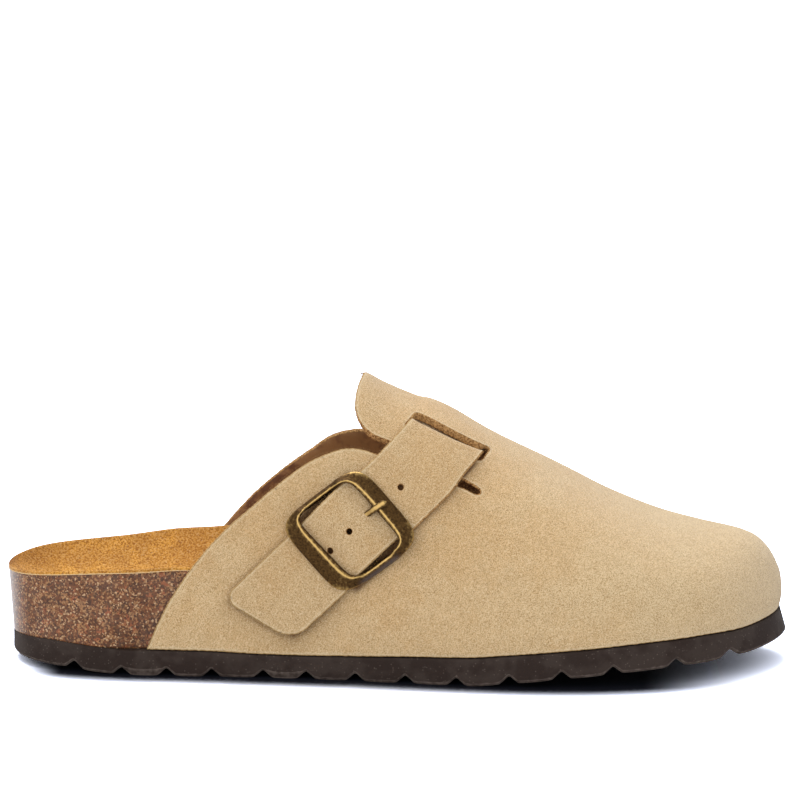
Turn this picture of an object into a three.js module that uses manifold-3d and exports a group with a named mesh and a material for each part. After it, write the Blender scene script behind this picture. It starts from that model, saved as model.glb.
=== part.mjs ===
// A suede mule with a strap and a buckle, for the right foot, on a cork footbed and a lugged outsole.
// Lengths are in millimetres. The shoe is drawn in the frame of its last: x runs from the back of the heel
// to the toe, y to the medial side and z up from the floor. The group then moves the origin under the heel,
// where the shoe rests.
import * as THREE from "three";
import { mergeVertices } from "three/addons/utils/BufferGeometryUtils.js";
import Module from "manifold-3d";

const wasm = await Module();
wasm.setup();

// Driving sizes of the last
const length = 279.5; // feather line, from the back of the heel to the tip of the toe
const ballWidth = 103.1;
const heelWidth = 71;
const instepHeight = 105.4; // floor to the tip of the tongue flap
const toeSpring = 10.2; // rise of the outsole's underside at the toe

// Driving sizes of the bottom
const soleThickness = 9.6;
const lugDepth = 2.7;
const notchWidth = 6.6;
const edgeChamfer = 0.9;
const toeFlare = 2.3; // how far the outsole's lower edge stands out at the toe
const treadWave = 2.2;
const treadWaveLength = 34;
const treadFade = { from: 6, to: 24 }; // the waves die out over this stretch at both ends
const rimHeight = 38.9; // floor to the lateral rim of the footbed
const corkFlare = 2.2; // how far the cork leans out at the back of the heel
const linerThickness = 1.2;

// Driving sizes of the upper
const wall = 2.2; // suede with its lining
const ledge = 0.5; // outsole left proud of the upper
const toeBulge = 1.3;
const bulgeHeight = 8;
const clearance = 0.3;
const bedRoom = 0.6; // between the footbed's side and the upper
const rebate = 10; // length over which the cork steps in before the upper's edge

// Driving sizes of the strap and its buckle
const strapWidth = 28.4;
const strapThickness = 2.2;
const strapAngle = (43.6 * Math.PI) / 180; // slope of the strap, seen from the side
const strapTail = 47.2; // buckle's middle to the strap's end
const strapInside = 34; // length of strap hidden past the slot
const tailSkew = 0.17;
const tailCorner = { rear: 6, front: 9 };
const slotDistance = 51; // buckle's middle to the slot's upper edge
const slotSkew = 0.39;
const slotWidth = 9.5;
const slotEndRoom = 1.6;
const holePitch = 11.8;
const holeDiameter = 2.6;
const holeCount = 4;
const holeShift = -0.8; // the row of holes lies this far off the strap's middle
const frameOuter = { along: 18.2, across: 18.1 }; // half sizes of the buckle's frame
const frameInner = { along: 12.3, across: 15.9 };
const frameHeight = 2.4;
const frameTurn = (4.5 * Math.PI) / 180; // the frame sits askew on the strap
const barDiameter = 1.4;
const prongWidth = 1.9;
const prongThickness = 1.4;
const prongLean = 0.12; // how far the prong turns off the frame's own axis

// Half widths of the feather line. The first rows are shares of heelWidth, the others shares of ballWidth.
const heelRows = [
  { at: 0, lateral: 0, medial: 0 },
  { at: 0.02, lateral: 0.265, medial: 0.265 },
  { at: 0.06, lateral: 0.4, medial: 0.4 },
  { at: 0.12, lateral: 0.479, medial: 0.465 },
  { at: 0.2, lateral: 0.514, medial: 0.483 },
  { at: 0.3, lateral: 0.532, medial: 0.479 },
];
const ballRows = [
  { at: 0.4, lateral: 0.393, medial: 0.338 },
  { at: 0.5, lateral: 0.441, medial: 0.378 },
  { at: 0.6, lateral: 0.491, medial: 0.438 },
  { at: 0.7, lateral: 0.519, medial: 0.481 },
  { at: 0.78, lateral: 0.504, medial: 0.487 },
  { at: 0.86, lateral: 0.436, medial: 0.452 },
  { at: 0.93, lateral: 0.306, medial: 0.369 },
  { at: 0.975, lateral: 0.146, medial: 0.257 },
  { at: 1, lateral: -0.087, medial: 0.087 },
];

// Outsole: lift of its underside as a share of toeSpring, thickness as a share of soleThickness.
const soleRows = [
  { at: 0, lift: 0.29, thick: 0.82 },
  { at: 0.063, lift: 0.186, thick: 0.97 },
  { at: 0.118, lift: 0.06, thick: 0.97 },
  { at: 0.15, lift: 0, thick: 0.97 },
  { at: 0.243, lift: 0, thick: 0.96 },
  { at: 0.315, lift: 0, thick: 0.885 },
  { at: 0.368, lift: 0, thick: 0.865 },
  { at: 0.44, lift: 0, thick: 0.905 },
  { at: 0.512, lift: 0, thick: 0.98 },
  { at: 0.583, lift: 0, thick: 1.04 },
  { at: 0.637, lift: 0.118, thick: 1.05 },
  { at: 0.69, lift: 0.284, thick: 1.02 },
  { at: 0.744, lift: 0.43, thick: 1.01 },
  { at: 0.816, lift: 0.6, thick: 1.01 },
  { at: 0.887, lift: 0.706, thick: 1.01 },
  { at: 0.945, lift: 0.814, thick: 0.93 },
  { at: 1, lift: 1, thick: 0.92 },
];

// Notches between the lugs along the outsole's edge, in shares of length. A set-back lug has a wider
// chamfer.
const notches = [
  0.084, 0.146, 0.204, 0.262, 0.328, 0.383, 0.446, 0.51, 0.575, 0.642, 0.709, 0.775, 0.857, 0.926,
];
const heelRest = (length * (notches[1] + notches[2])) / 2; // middle of the lug that carries the heel
const setBackLugs = [2, 5];
const setBackChamfer = 2.4;

// Crest of the upper: height as a share of instepHeight, side as a share of ballWidth towards the medial
// side, round is the power of the arched section. Behind the flap the rows only guide the quarters.
const crestRows = [
  { at: 0.1, height: 0.93, side: 0, round: 2.2 },
  { at: 0.215, height: 0.995, side: 0, round: 2.2 },
  { at: 0.322, height: 1.02, side: 0, round: 2.2 },
  { at: 0.394, height: 1.022, side: 0, round: 2.2 },
  { at: 0.454, height: 1.003, side: 0, round: 2.2 },
  { at: 0.482, height: 0.968, side: 0, round: 2.2 },
  { at: 0.511, height: 0.936, side: 0, round: 2.2 },
  { at: 0.526, height: 0.921, side: 0, round: 2.2 },
  { at: 0.54, height: 0.914, side: 0.001, round: 2.2 },
  { at: 0.565, height: 0.887, side: 0.002, round: 2.2 },
  { at: 0.619, height: 0.803, side: 0.005, round: 2.22 },
  { at: 0.675, height: 0.727, side: 0.01, round: 2.25 },
  { at: 0.73, height: 0.654, side: 0.016, round: 2.3 },
  { at: 0.785, height: 0.579, side: 0.023, round: 2.35 },
  { at: 0.84, height: 0.521, side: 0.03, round: 2.4 },
  { at: 0.895, height: 0.484, side: 0.038, round: 2.42 },
  { at: 0.932, height: 0.465, side: 0.046, round: 2.4 },
  { at: 0.95, height: 0.453, side: 0.053, round: 2.36 },
  { at: 0.9685, height: 0.43, side: 0.062, round: 2.3 },
  { at: 0.984, height: 0.386, side: 0.073, round: 2.25 },
  { at: 0.993, height: 0.338, side: 0.08, round: 2.2 },
  { at: 0.9982, height: 0.29, side: 0.085, round: 2.2 },
  { at: 0.99965, height: 0.243, side: 0.087, round: 2.2 },
  { at: 1, height: 0.178, side: 0.087, round: 2.2 },
];

// Footbed: heights of both rims and of the middle of the foot's surface, in shares of rimHeight.
// cup is the power that the surface climbs to its rims with.
const bedRows = [
  { at: 0, lateral: 0.885, medial: 0.885, middle: 0.885, cup: 3.2 },
  { at: 0.012, lateral: 0.893, medial: 0.905, middle: 0.78, cup: 3.2 },
  { at: 0.036, lateral: 0.902, medial: 0.925, middle: 0.67, cup: 3.2 },
  { at: 0.086, lateral: 0.938, medial: 0.955, middle: 0.622, cup: 3.2 },
  { at: 0.147, lateral: 0.972, medial: 1.0, middle: 0.62, cup: 3.2 },
  { at: 0.206, lateral: 0.997, medial: 1.06, middle: 0.63, cup: 3 },
  { at: 0.275, lateral: 1.0, medial: 1.115, middle: 0.66, cup: 2.6 },
  { at: 0.34, lateral: 0.97, medial: 1.13, middle: 0.69, cup: 2.4 },
  { at: 0.43, lateral: 0.86, medial: 1.03, middle: 0.66, cup: 2.6 },
  { at: 0.54, lateral: 0.74, medial: 0.8, middle: 0.55, cup: 3.4 },
  { at: 0.72, lateral: 0.63, medial: 0.63, middle: 0.49, cup: 4 },
  { at: 0.9, lateral: 0.62, medial: 0.62, middle: 0.53, cup: 3.5 },
  { at: 1, lateral: 0.57, medial: 0.57, middle: 0.57, cup: 3 },
];

// Edges of the upper, seen from the side: x as a share of length, z as a share of instepHeight.
const lateralEdge = [
  { x: 0.1785, z: 0.094 },
  { x: 0.2054, z: 0.25 },
  { x: 0.2408, z: 0.391 },
  { x: 0.2769, z: 0.5 },
  { x: 0.3123, z: 0.5835 },
  { x: 0.3481, z: 0.664 },
  { x: 0.3835, z: 0.7325 },
  { x: 0.4193, z: 0.773 },
  { x: 0.444, z: 0.781 },
  { x: 0.4723, z: 0.764 },
  { x: 0.52, z: 0.716 },
  { x: 0.58, z: 0.6575 },
  { x: 0.6, z: 0.632 },
  { x: 0.609, z: 0.635 },
  { x: 0.607, z: 0.653 },
  { x: 0.587, z: 0.681 },
  { x: 0.54, z: 0.742 },
  { x: 0.51, z: 0.783 },
];
const medialEdge = [
  { x: 0.204, z: 0.09 },
  { x: 0.229, z: 0.25 },
  { x: 0.2655, z: 0.391 },
  { x: 0.3059, z: 0.512 },
  { x: 0.3431, z: 0.617 },
  { x: 0.38, z: 0.697 },
  { x: 0.4036, z: 0.745 },
  { x: 0.4254, z: 0.763 },
  { x: 0.4472, z: 0.769 },
  { x: 0.4723, z: 0.758 },
  { x: 0.51, z: 0.722 },
  { x: 0.54, z: 0.702 },
  { x: 0.548, z: 0.71 },
  { x: 0.545, z: 0.726 },
  { x: 0.515, z: 0.762 },
];
const flapEdge = [
  { x: 0.4877, z: 0.803 },
  { x: 0.4655, z: 0.8255 },
  { x: 0.4497, z: 0.8634 },
  { x: 0.4433, z: 0.9127 },
  { x: 0.4465, z: 0.9706 },
  { x: 0.4545, z: 1.002 },
];

// How high the strap's back stands off the upper along the buckle: s from the buckle's middle, lift in
// millimetres.
const strapLift = [
  { s: -30, lift: 0.3 },
  { s: -20, lift: 0.5 },
  { s: -15, lift: 0.8 },
  { s: -8, lift: 2 },
  { s: -3, lift: 3 },
  { s: 1, lift: 3.2 },
  { s: 4, lift: 3 },
  { s: 7, lift: 2.4 },
  { s: 10.5, lift: 1.3 },
  { s: 14, lift: 0.8 },
  { s: 20, lift: 0.5 },
  { s: 30, lift: 0.3 },
];

const lerp = (a, b, k) => a + (b - a) * k;
const smooth = (k) => {
  const c = Math.min(1, Math.max(0, k));
  return c * c * (3 - 2 * c);
};
const ramp = (x, from, to) => smooth((x - from) / (to - from));

// A smooth curve through rows that never overshoots them, so that a flat stretch stays flat.
function curveThrough(rows, key, value) {
  const xs = rows.map((r) => r[key]);
  const ys = rows.map((r) => r[value]);
  const rise = xs.slice(1).map((x, i) => (ys[i + 1] - ys[i]) / (x - xs[i]));
  const slope = xs.map((_, i) => {
    if (i === 0 || i === xs.length - 1) return rise[Math.min(i, rise.length - 1)];
    const before = rise[i - 1];
    const after = rise[i];
    if (before * after <= 0) return 0;
    const mean = (before + after) / 2;
    const most = 3 * Math.min(Math.abs(before), Math.abs(after));
    return Math.sign(mean) * Math.min(Math.abs(mean), most);
  });
  return (x) => {
    const clamped = Math.min(xs.at(-1), Math.max(xs[0], x));
    let i = 0;
    while (i < xs.length - 2 && xs[i + 1] < clamped) i += 1;
    const span = xs[i + 1] - xs[i];
    const k = (clamped - xs[i]) / span;
    const k2 = k * k;
    const k3 = k2 * k;
    return (
      ys[i] * (2 * k3 - 3 * k2 + 1) +
      ys[i + 1] * (3 * k2 - 2 * k3) +
      span * (slope[i] * (k3 - 2 * k2 + k) + slope[i + 1] * (k3 - k2))
    );
  };
}

// The last is followed by an angle-like station u, 0 at the heel and 1 at the toe, which crowds sections
// at both ends.
const stationAt = (at) => Math.acos(1 - 2 * Math.min(1, Math.max(0, at))) / Math.PI;
const shareAt = (u) => (1 - Math.cos(Math.PI * u)) / 2;
const withStations = (rows) => rows.map((r) => ({ ...r, u: stationAt(r.at) }));

const planRows = withStations([
  ...heelRows.map((r) => ({ at: r.at, lateral: r.lateral * heelWidth, medial: r.medial * heelWidth })),
  ...ballRows.map((r) => ({ at: r.at, lateral: r.lateral * ballWidth, medial: r.medial * ballWidth })),
]);
const lateralHalf = curveThrough(planRows, "u", "lateral");
const medialHalf = curveThrough(planRows, "u", "medial");
const crest = {
  height: curveThrough(withStations(crestRows), "u", "height"),
  side: curveThrough(withStations(crestRows), "u", "side"),
  round: curveThrough(withStations(crestRows), "u", "round"),
};
const soleLift = curveThrough(soleRows, "at", "lift");
const soleThick = curveThrough(soleRows, "at", "thick");

const undersideAt = (x) => toeSpring * soleLift(x / length);
const soleTopAt = (x) => undersideAt(x) + soleThickness * soleThick(x / length);
const featherAt = (x) => soleTopAt(x) + clearance;

// A point of the feather line in plan, on side -1 (lateral) or 1 (medial), moved in by inset.
function outline(u, side, inset) {
  const place = (v) => {
    const k = Math.min(1, Math.max(0, v));
    const half = side < 0 ? lateralHalf(k) : medialHalf(k);
    return { x: length * shareAt(k), y: side * half };
  };
  const step = 0.002;
  const here = place(u);
  const before = place(u - step);
  const after = place(u + step);
  const dx = after.x - before.x;
  const dy = after.y - before.y;
  const size = Math.hypot(dx, dy);
  const normal = { x: (-side * dy) / size, y: (side * dx) / size };
  if (u < step) Object.assign(normal, { x: -1, y: 0 });
  if (u > 1 - step) Object.assign(normal, { x: 1, y: 0 });
  return { x: here.x - inset * normal.x, y: here.y - inset * normal.y, normal };
}

function crestPoint(u, inset) {
  const place = (v) => {
    const k = Math.min(1, Math.max(0, v));
    return { x: length * shareAt(k), z: instepHeight * crest.height(k) };
  };
  const step = 0.002;
  const here = place(u);
  const before = place(u - step);
  const after = place(u + step);
  const dx = after.x - before.x;
  const dz = after.z - before.z;
  const size = Math.hypot(dx, dz);
  const normal = { x: -dz / size, z: dx / size };
  return { x: here.x - inset * normal.x, z: here.z - inset * normal.z, normal };
}

// The upper's surface, moved in by inset: t is -1 at the lateral feather line, 0 on the crest, 1 at the
// medial one.
function upperPoint(u, t, inset) {
  const side = t < 0 ? -1 : 1;
  const theta = ((1 - Math.abs(t)) * Math.PI) / 2;
  const foot = outline(u, side, inset);
  const other = outline(u, -side, inset);
  const top = crestPoint(u, inset);
  const middle = { x: (foot.x + other.x) / 2, y: ballWidth * crest.side(u) };
  const floor = featherAt(foot.x);
  const power = 2 / crest.round(u);
  const out = Math.cos(theta) ** power;
  const up = Math.sin(theta) ** power;
  const height = Math.max(0, top.z - floor) * up;
  const share = foot.x / length;
  const amount = toeBulge * (0.6 * ramp(share, 0.3, 0.6) + 0.4 * ramp(share, 0.85, 1));
  const bump = amount * (height / bulgeHeight) * Math.exp(1 - height / bulgeHeight);
  const crestward = 1 - Math.abs(t);
  return new THREE.Vector3(
    middle.x + (foot.x - middle.x) * out + (top.x - middle.x) * up +
      bump * lerp(foot.normal.x, Math.max(0, top.normal.x), crestward),
    middle.y + (foot.y - middle.y) * out + bump * foot.normal.y * (1 - crestward),
    floor + height,
  );
}

function upperNormal(u, t, inset) {
  const step = 0.004;
  const low = Math.max(0.05, u - step);
  const high = Math.min(1 - step, u + step);
  const along = upperPoint(high, t, inset).sub(upperPoint(low, t, inset));
  const near = Math.max(-1, t - step);
  const far = Math.min(1, t + step);
  const round = upperPoint(u, far, inset).sub(upperPoint(u, near, inset));
  return along.cross(round).normalize();
}

// The inside of the upper at a height, for what stands within it.
function insidePoint(u, side, height, inset) {
  const foot = outline(u, side, inset);
  const top = crestPoint(u, inset);
  const floor = featherAt(foot.x);
  const share = Math.min(0.95, Math.max(0, (height - floor) / Math.max(1e-6, top.z - floor)));
  const theta = Math.asin(share ** (crest.round(u) / 2));
  return upperPoint(u, side * (1 - theta / (Math.PI / 2)), inset);
}

// A closed mesh over rings of equal counts. A ring that has shrunk to a point or a line needs no cap.
function loft(rings, { capStart = false, capEnd = false, closed = false } = {}) {
  const count = rings[0].length;
  const positions = rings.flat().flatMap((p) => [p.x, p.y, p.z]);
  const index = [];
  const last = closed ? rings.length : rings.length - 1;
  for (let i = 0; i < last; i += 1) {
    const here = i * count;
    const next = ((i + 1) % rings.length) * count;
    for (let j = 0; j < count; j += 1) {
      const k = (j + 1) % count;
      index.push(here + j, next + j, next + k, here + j, next + k, here + k);
    }
  }
  const cap = (ringAt, flip) => {
    const start = ringAt * count;
    const middle = rings[ringAt].reduce((sum, p) => sum.add(p), new THREE.Vector3()).divideScalar(count);
    const hub = positions.length / 3;
    positions.push(middle.x, middle.y, middle.z);
    for (let j = 0; j < count; j += 1) {
      const a = start + j;
      const b = start + ((j + 1) % count);
      index.push(hub, ...(flip ? [b, a] : [a, b]));
    }
  };
  if (capStart) cap(0, false);
  if (capEnd) cap(rings.length - 1, true);
  const geometry = new THREE.BufferGeometry();
  geometry.setAttribute("position", new THREE.Float32BufferAttribute(positions, 3));
  geometry.setIndex(index);
  return geometry;
}

// three.js geometry to a solid that can be cut or joined. Triangles that have shrunk to a line are dropped.
function solid(geometry) {
  const bare = geometry.clone();
  bare.deleteAttribute("normal");
  bare.deleteAttribute("uv");
  const merged = mergeVertices(bare, 1e-3);
  const corners = merged.index.array;
  const kept = [];
  for (let i = 0; i < corners.length; i += 3) {
    const [a, b, c] = corners.slice(i, i + 3);
    if (a !== b && b !== c && c !== a) kept.push(a, b, c);
  }
  const vertProperties = new Float32Array(merged.attributes.position.array);
  const build = (triVerts) => new wasm.Manifold(new wasm.Mesh({ numProp: 3, vertProperties, triVerts }));
  const made = build(new Uint32Array(kept));
  if (made.volume() > 0) return made;
  const turned = new Uint32Array(kept);
  for (let i = 0; i < turned.length; i += 3) {
    [turned[i + 1], turned[i + 2]] = [turned[i + 2], turned[i + 1]];
  }
  return build(turned);
}

function geometryOf(made) {
  const mesh = made.getMesh();
  const geometry = new THREE.BufferGeometry();
  geometry.setAttribute("position", new THREE.Float32BufferAttribute(mesh.vertProperties, 3));
  geometry.setIndex(new THREE.Uint32BufferAttribute(mesh.triVerts, 1));
  return geometry;
}

const range = (count) => Array.from({ length: count + 1 }, (_, i) => i / count);

// A prism over an outline drawn in the side view, from y = from to y = to.
function sidePrism(points, from, to) {
  const shape = new THREE.Shape(points.map((p) => new THREE.Vector2(p.x, p.z)));
  const body = new THREE.ExtrudeGeometry(shape, { depth: to - from, bevelEnabled: false });
  body.rotateX(Math.PI / 2);
  body.translate(0, to, 0);
  return solid(body);
}

// Outsole

function lugUnderside(x) {
  const notch = notches.find((n) => Math.abs(x - n * length) < notchWidth / 2);
  if (notch === undefined) return undersideAt(x);
  const depth = lugDepth * (1 - Math.abs(x - notch * length) / (notchWidth / 2));
  return undersideAt(x) + depth;
}

function outsole() {
  const heelStops = [0, 0.025, 0.055, 0.095, 0.145, 0.2];
  const stops = [...heelStops, ...heelStops.map((e) => 1 - e)].map((u) => length * shareAt(u));
  const corners = notches.flatMap((n) => [-0.5, 0, 0.5].map((k) => n * length + k * notchWidth));
  const stations = [...stops.filter((x) => corners.every((c) => Math.abs(c - x) > 2.5)), ...corners];
  stations.sort((a, b) => a - b);
  const across = range(8);
  const rings = stations.map((x) => {
    const u = stationAt(x / length);
    const sides = [-1, 1].map((side) => outline(u, side, 0));
    const lug = notches.filter((n) => n * length < x).length;
    const inLug = lugUnderside(x) === undersideAt(x);
    const chamfer = inLug && setBackLugs.includes(lug) ? setBackChamfer : edgeChamfer;
    const flare = toeFlare * ramp(x / length, 0.86, 1);
    const bottom = lugUnderside(x);
    const lower = sides.map((s) => ({ x: s.x + flare * s.normal.x, y: s.y + flare * s.normal.y }));
    const shrink = Math.min(edgeChamfer, Math.abs(lower[1].y - lower[0].y) / 2);
    const sole = sides.map((s, i) => ({
      x: lower[i].x - shrink * s.normal.x,
      y: lower[i].y - shrink * s.normal.y,
    }));
    const top = sides.map((s) => new THREE.Vector3(s.x, s.y, soleTopAt(x)));
    const under = across.map((k) => {
      const y = lerp(sole[1].y, sole[0].y, k);
      const hold = 1 - (2 * k - 1) ** 4;
      const ends = ramp(x, treadFade.from, treadFade.to) * ramp(length - x, treadFade.from, treadFade.to);
      const wave = treadWave * hold * ends * Math.sin((2 * Math.PI * y) / treadWaveLength);
      return new THREE.Vector3(lerp(sole[1].x, sole[0].x, k) + wave, y, bottom);
    });
    const edge = (i) => new THREE.Vector3(lower[i].x, lower[i].y, bottom + chamfer);
    return [...top, edge(1), ...under, edge(0)];
  });
  return solid(loft(rings));
}

// Footbed and liner

const bedUpper = {
  lateral: curveThrough(withStations(bedRows), "u", "lateral"),
  medial: curveThrough(withStations(bedRows), "u", "medial"),
  middle: curveThrough(withStations(bedRows), "u", "middle"),
  cup: curveThrough(withStations(bedRows), "u", "cup"),
};

// Where the upper's back edge crosses a height. The cork steps in just before it.
const quarterBack = [lateralEdge, medialEdge].map((edge) => curveThrough(edge.slice(0, 4), "z", "x"));
const quarterBackAt = (side, height) => length * quarterBack[side < 0 ? 0 : 1](height / instepHeight);

// A point of the footbed's side: it leans out at the bare heel and fits inside the upper further on.
function bedSide(u, side, height) {
  const bare = outline(u, side, 0);
  const floor = featherAt(bare.x);
  const rise = Math.max(0, height - floor) / (rimHeight - floor);
  const lean = corkFlare * rise * ramp(0.14 - bare.x / length, 0, 0.13);
  const open = { x: bare.x + lean * bare.normal.x, y: bare.y + lean * bare.normal.y };
  const fitted = insidePoint(u, side, height, ledge + wall + bedRoom);
  const cover = ramp(bare.x - quarterBackAt(side, height), -1.2 * rebate, -0.55 * rebate);
  return new THREE.Vector3(lerp(open.x, fitted.x, cover), lerp(open.y, fitted.y, cover), height);
}

function bedSurface(u, k) {
  const rims = [rimHeight * bedUpper.lateral(u), rimHeight * bedUpper.medial(u)];
  const left = bedSide(u, -1, rims[0]);
  const right = bedSide(u, 1, rims[1]);
  const across = 2 * k - 1;
  const middle = rimHeight * bedUpper.middle(u);
  const rim = across < 0 ? rims[0] : rims[1];
  return new THREE.Vector3(
    lerp(left.x, right.x, k),
    lerp(left.y, right.y, k),
    middle + (rim - middle) * Math.abs(across) ** bedUpper.cup(u),
  );
}

const bedStations = [
  0, 0.02, 0.045, 0.075, 0.11, 0.15, 0.19, 0.225, 0.25, 0.265, 0.28, 0.295, 0.31, 0.325, 0.34, 0.36, 0.39,
  0.43, 0.47, 0.51, 0.55, 0.59, 0.63, 0.67, 0.71, 0.75, 0.79, 0.83, 0.865, 0.9, 0.93, 0.955, 0.98, 1,
];
const bedAcross = [0, 0.03, 0.09, 0.18, 0.32, 0.5, 0.68, 0.82, 0.91, 0.97, 1];

function footbed() {
  const rings = bedStations.map((u) => {
    const drop = linerThickness + clearance;
    const top = bedAcross.map((k) => {
      const p = bedSurface(u, k);
      return p.setZ(p.z - drop);
    });
    const side = (which, rim) => {
      const floor = featherAt(outline(u, which, 0).x);
      return [0.75, 0.5, 0.25, 0].map((k) => bedSide(u, which, lerp(floor, rim.z, k)));
    };
    return [...top, ...side(1, top.at(-1)), ...side(-1, top[0]).reverse()];
  });
  return solid(loft(rings));
}

function insole() {
  const rings = bedStations.map((u) => {
    const top = bedAcross.map((k) => bedSurface(u, k));
    const under = top.map((p) => new THREE.Vector3(p.x, p.y, p.z - linerThickness));
    return [...under, ...top.reverse()];
  });
  return solid(loft(rings));
}

// Upper

function upperBody(inset, depth, stations, points) {
  const first = stationAt(0.13);
  const rings = range(stations).map((k) => {
    const u = lerp(first, 1, k);
    const arch = range(points).map((j) => upperPoint(u, 2 * j - 1, inset));
    const low = [arch.at(-1), arch[0]].map((p) => new THREE.Vector3(p.x, p.y, p.z - depth));
    return depth > 0 ? [...arch, ...low] : arch;
  });
  return solid(loft(rings, { capStart: true }));
}

const edgePoints = (rows) => rows.map((r) => ({ x: r.x * length, z: r.z * instepHeight }));

function smoothEdge(rows, perSpan) {
  const curve = new THREE.SplineCurve(edgePoints(rows).map((p) => new THREE.Vector2(p.x, p.z)));
  return curve.getPoints(perSpan * (rows.length - 1)).map((p) => ({ x: p.x, z: p.y }));
}

// What the quarters and the flap leave open on one side: everything behind and above their edges.
function openingCutter(edge, from, to) {
  const path = smoothEdge([...edge, ...flapEdge], 2);
  const behind = -0.2 * length;
  const above = 1.3 * instepHeight;
  const below = -0.2 * instepHeight;
  const start = path[0];
  const end = path.at(-1);
  const frame = [
    { x: end.x + 0.01 * length, z: above },
    { x: behind, z: above },
    { x: behind, z: below },
    { x: start.x - 0.012 * length, z: below },
  ];
  return sidePrism([...path, ...frame], from, to);
}

function upper(slotCutter) {
  const outer = upperBody(ledge, 0, 34, 26);
  const inner = upperBody(ledge + wall, instepHeight * 0.1, 34, 26);
  const seam = wall / 4;
  const reach = ballWidth;
  return outer
    .subtract(inner)
    .subtract(openingCutter(lateralEdge, -reach, seam))
    .subtract(openingCutter(medialEdge, -seam, reach))
    .subtract(slotCutter);
}

// Strap. Its edges lie in upright planes that slope as the strap does in the side view. A path is the line
// where such a plane, w off the strap's middle, meets the upper: s is measured along the slope from the
// buckle's middle.

const buckleMiddle = { x: 0.4408 * length, z: 0.5057 * instepHeight };
const alongStrap = { x: Math.cos(strapAngle), z: Math.sin(strapAngle) };
const acrossStrap = { x: Math.sin(strapAngle), z: -Math.cos(strapAngle) };

const strapCoordinates = (p) => {
  const dx = p.x - buckleMiddle.x;
  const dz = p.z - buckleMiddle.z;
  return { s: dx * alongStrap.x + dz * alongStrap.z, w: dx * acrossStrap.x + dz * acrossStrap.z };
};

function tracePath(w) {
  const steps = 140;
  const points = range(steps).map((k) => {
    const t = lerp(-0.985, 0.8, k);
    let low = 0.2;
    let high = 0.85;
    for (let i = 0; i < 40; i += 1) {
      const u = (low + high) / 2;
      if (strapCoordinates(upperPoint(u, t, ledge)).w < w) low = u;
      else high = u;
    }
    const u = (low + high) / 2;
    const place = upperPoint(u, t, ledge);
    return { u, t, place, s: strapCoordinates(place).s, run: 0 };
  });
  points.forEach((p, i) => {
    if (i > 0) p.run = points[i - 1].run + p.place.distanceTo(points[i - 1].place);
  });
  const start = points.findIndex((p) => p.s > 0);
  const before = points[start - 1];
  const after = points[start];
  const origin = lerp(before.run, after.run, -before.s / (after.s - before.s));
  points.forEach((p) => {
    p.run -= origin;
  });
  return points;
}

const pathSpacing = 2.2;
const pathCount = 11; // on each side of the middle
const paths = Array.from({ length: 2 * pathCount + 1 }, (_, i) => tracePath((i - pathCount) * pathSpacing));

function onPath(path, run) {
  let i = 0;
  while (i < path.length - 2 && path[i + 1].run < run) i += 1;
  const k = (run - path[i].run) / (path[i + 1].run - path[i].run);
  return {
    u: lerp(path[i].u, path[i + 1].u, k),
    t: lerp(path[i].t, path[i + 1].t, k),
    s: lerp(path[i].s, path[i + 1].s, k),
  };
}

// The point that lies run along the strap and w across it, off the upper by offset.
function strapPoint(run, w, offset) {
  const place = w / pathSpacing + pathCount;
  const i = Math.min(2 * pathCount - 1, Math.max(0, Math.floor(place)));
  const a = onPath(paths[i], run);
  const b = onPath(paths[i + 1], run);
  const u = lerp(a.u, b.u, place - i);
  const t = lerp(a.t, b.t, place - i);
  return upperPoint(u, t, ledge).addScaledVector(upperNormal(u, t, ledge), offset);
}

// The distance along the strap's slope, in the side view, at a run over the surface.
const alongAt = (run, w) => {
  const place = w / pathSpacing + pathCount;
  const i = Math.min(2 * pathCount - 1, Math.max(0, Math.floor(place)));
  return lerp(onPath(paths[i], run).s, onPath(paths[i + 1], run).s, place - i);
};

const liftAlong = curveThrough(strapLift, "s", "lift");

// Run along the strap at which a path reaches the slot's upper edge.
function slotRun(w) {
  const target = slotDistance + slotSkew * w;
  let low = 0;
  let high = 1.6 * slotDistance;
  for (let i = 0; i < 30; i += 1) {
    const middle = (low + high) / 2;
    if (alongAt(middle, w) < target) low = middle;
    else high = middle;
  }
  return (low + high) / 2;
}
const slotRuns = [-1, 0, 1].map((k) => slotRun((k * strapWidth) / 2));
const slotRunAt = (w) => {
  const k = w / (strapWidth / 2);
  const [rear, middle, front] = slotRuns;
  return middle + ((front - rear) / 2) * k + ((front + rear) / 2 - middle) * k * k;
};

// Height of the strap's back off the upper. Past the slot it lies under the upper's wall.
function strapBack(run, w) {
  const inside = -(wall + clearance + strapThickness + 1.5 * clearance);
  const dive = ramp(run - slotRunAt(w), 2.3 - slotWidth, -0.4);
  return lerp(liftAlong(run), inside, dive);
}

function strapRings(grow, from, to, count, across) {
  const half = strapWidth / 2 + grow;
  return range(count).map((k) => {
    const back = [];
    const face = [];
    across.forEach((j) => {
      const w = half * j;
      const corner = w < 0 ? tailCorner.rear : tailCorner.front;
      const over = Math.max(0, Math.abs(w) - (half - corner));
      const rounding = corner - Math.sqrt(Math.max(0, corner ** 2 - over ** 2));
      const tail = -strapTail + tailSkew * w + rounding;
      const run = lerp(Math.max(from, tail), to, k);
      const height = strapBack(run, w);
      back.push(strapPoint(run, w, height - grow));
      face.push(strapPoint(run, w, height + strapThickness + grow));
    });
    return [...face, ...back.reverse()];
  });
}

function strapBody() {
  const across = [-1, -0.92, -0.7, -0.4, 0, 0.4, 0.7, 0.92, 1];
  const rings = strapRings(0, -2 * strapTail, slotDistance + strapInside, 46, across);
  return solid(loft(rings, { capStart: true, capEnd: true }));
}

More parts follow.
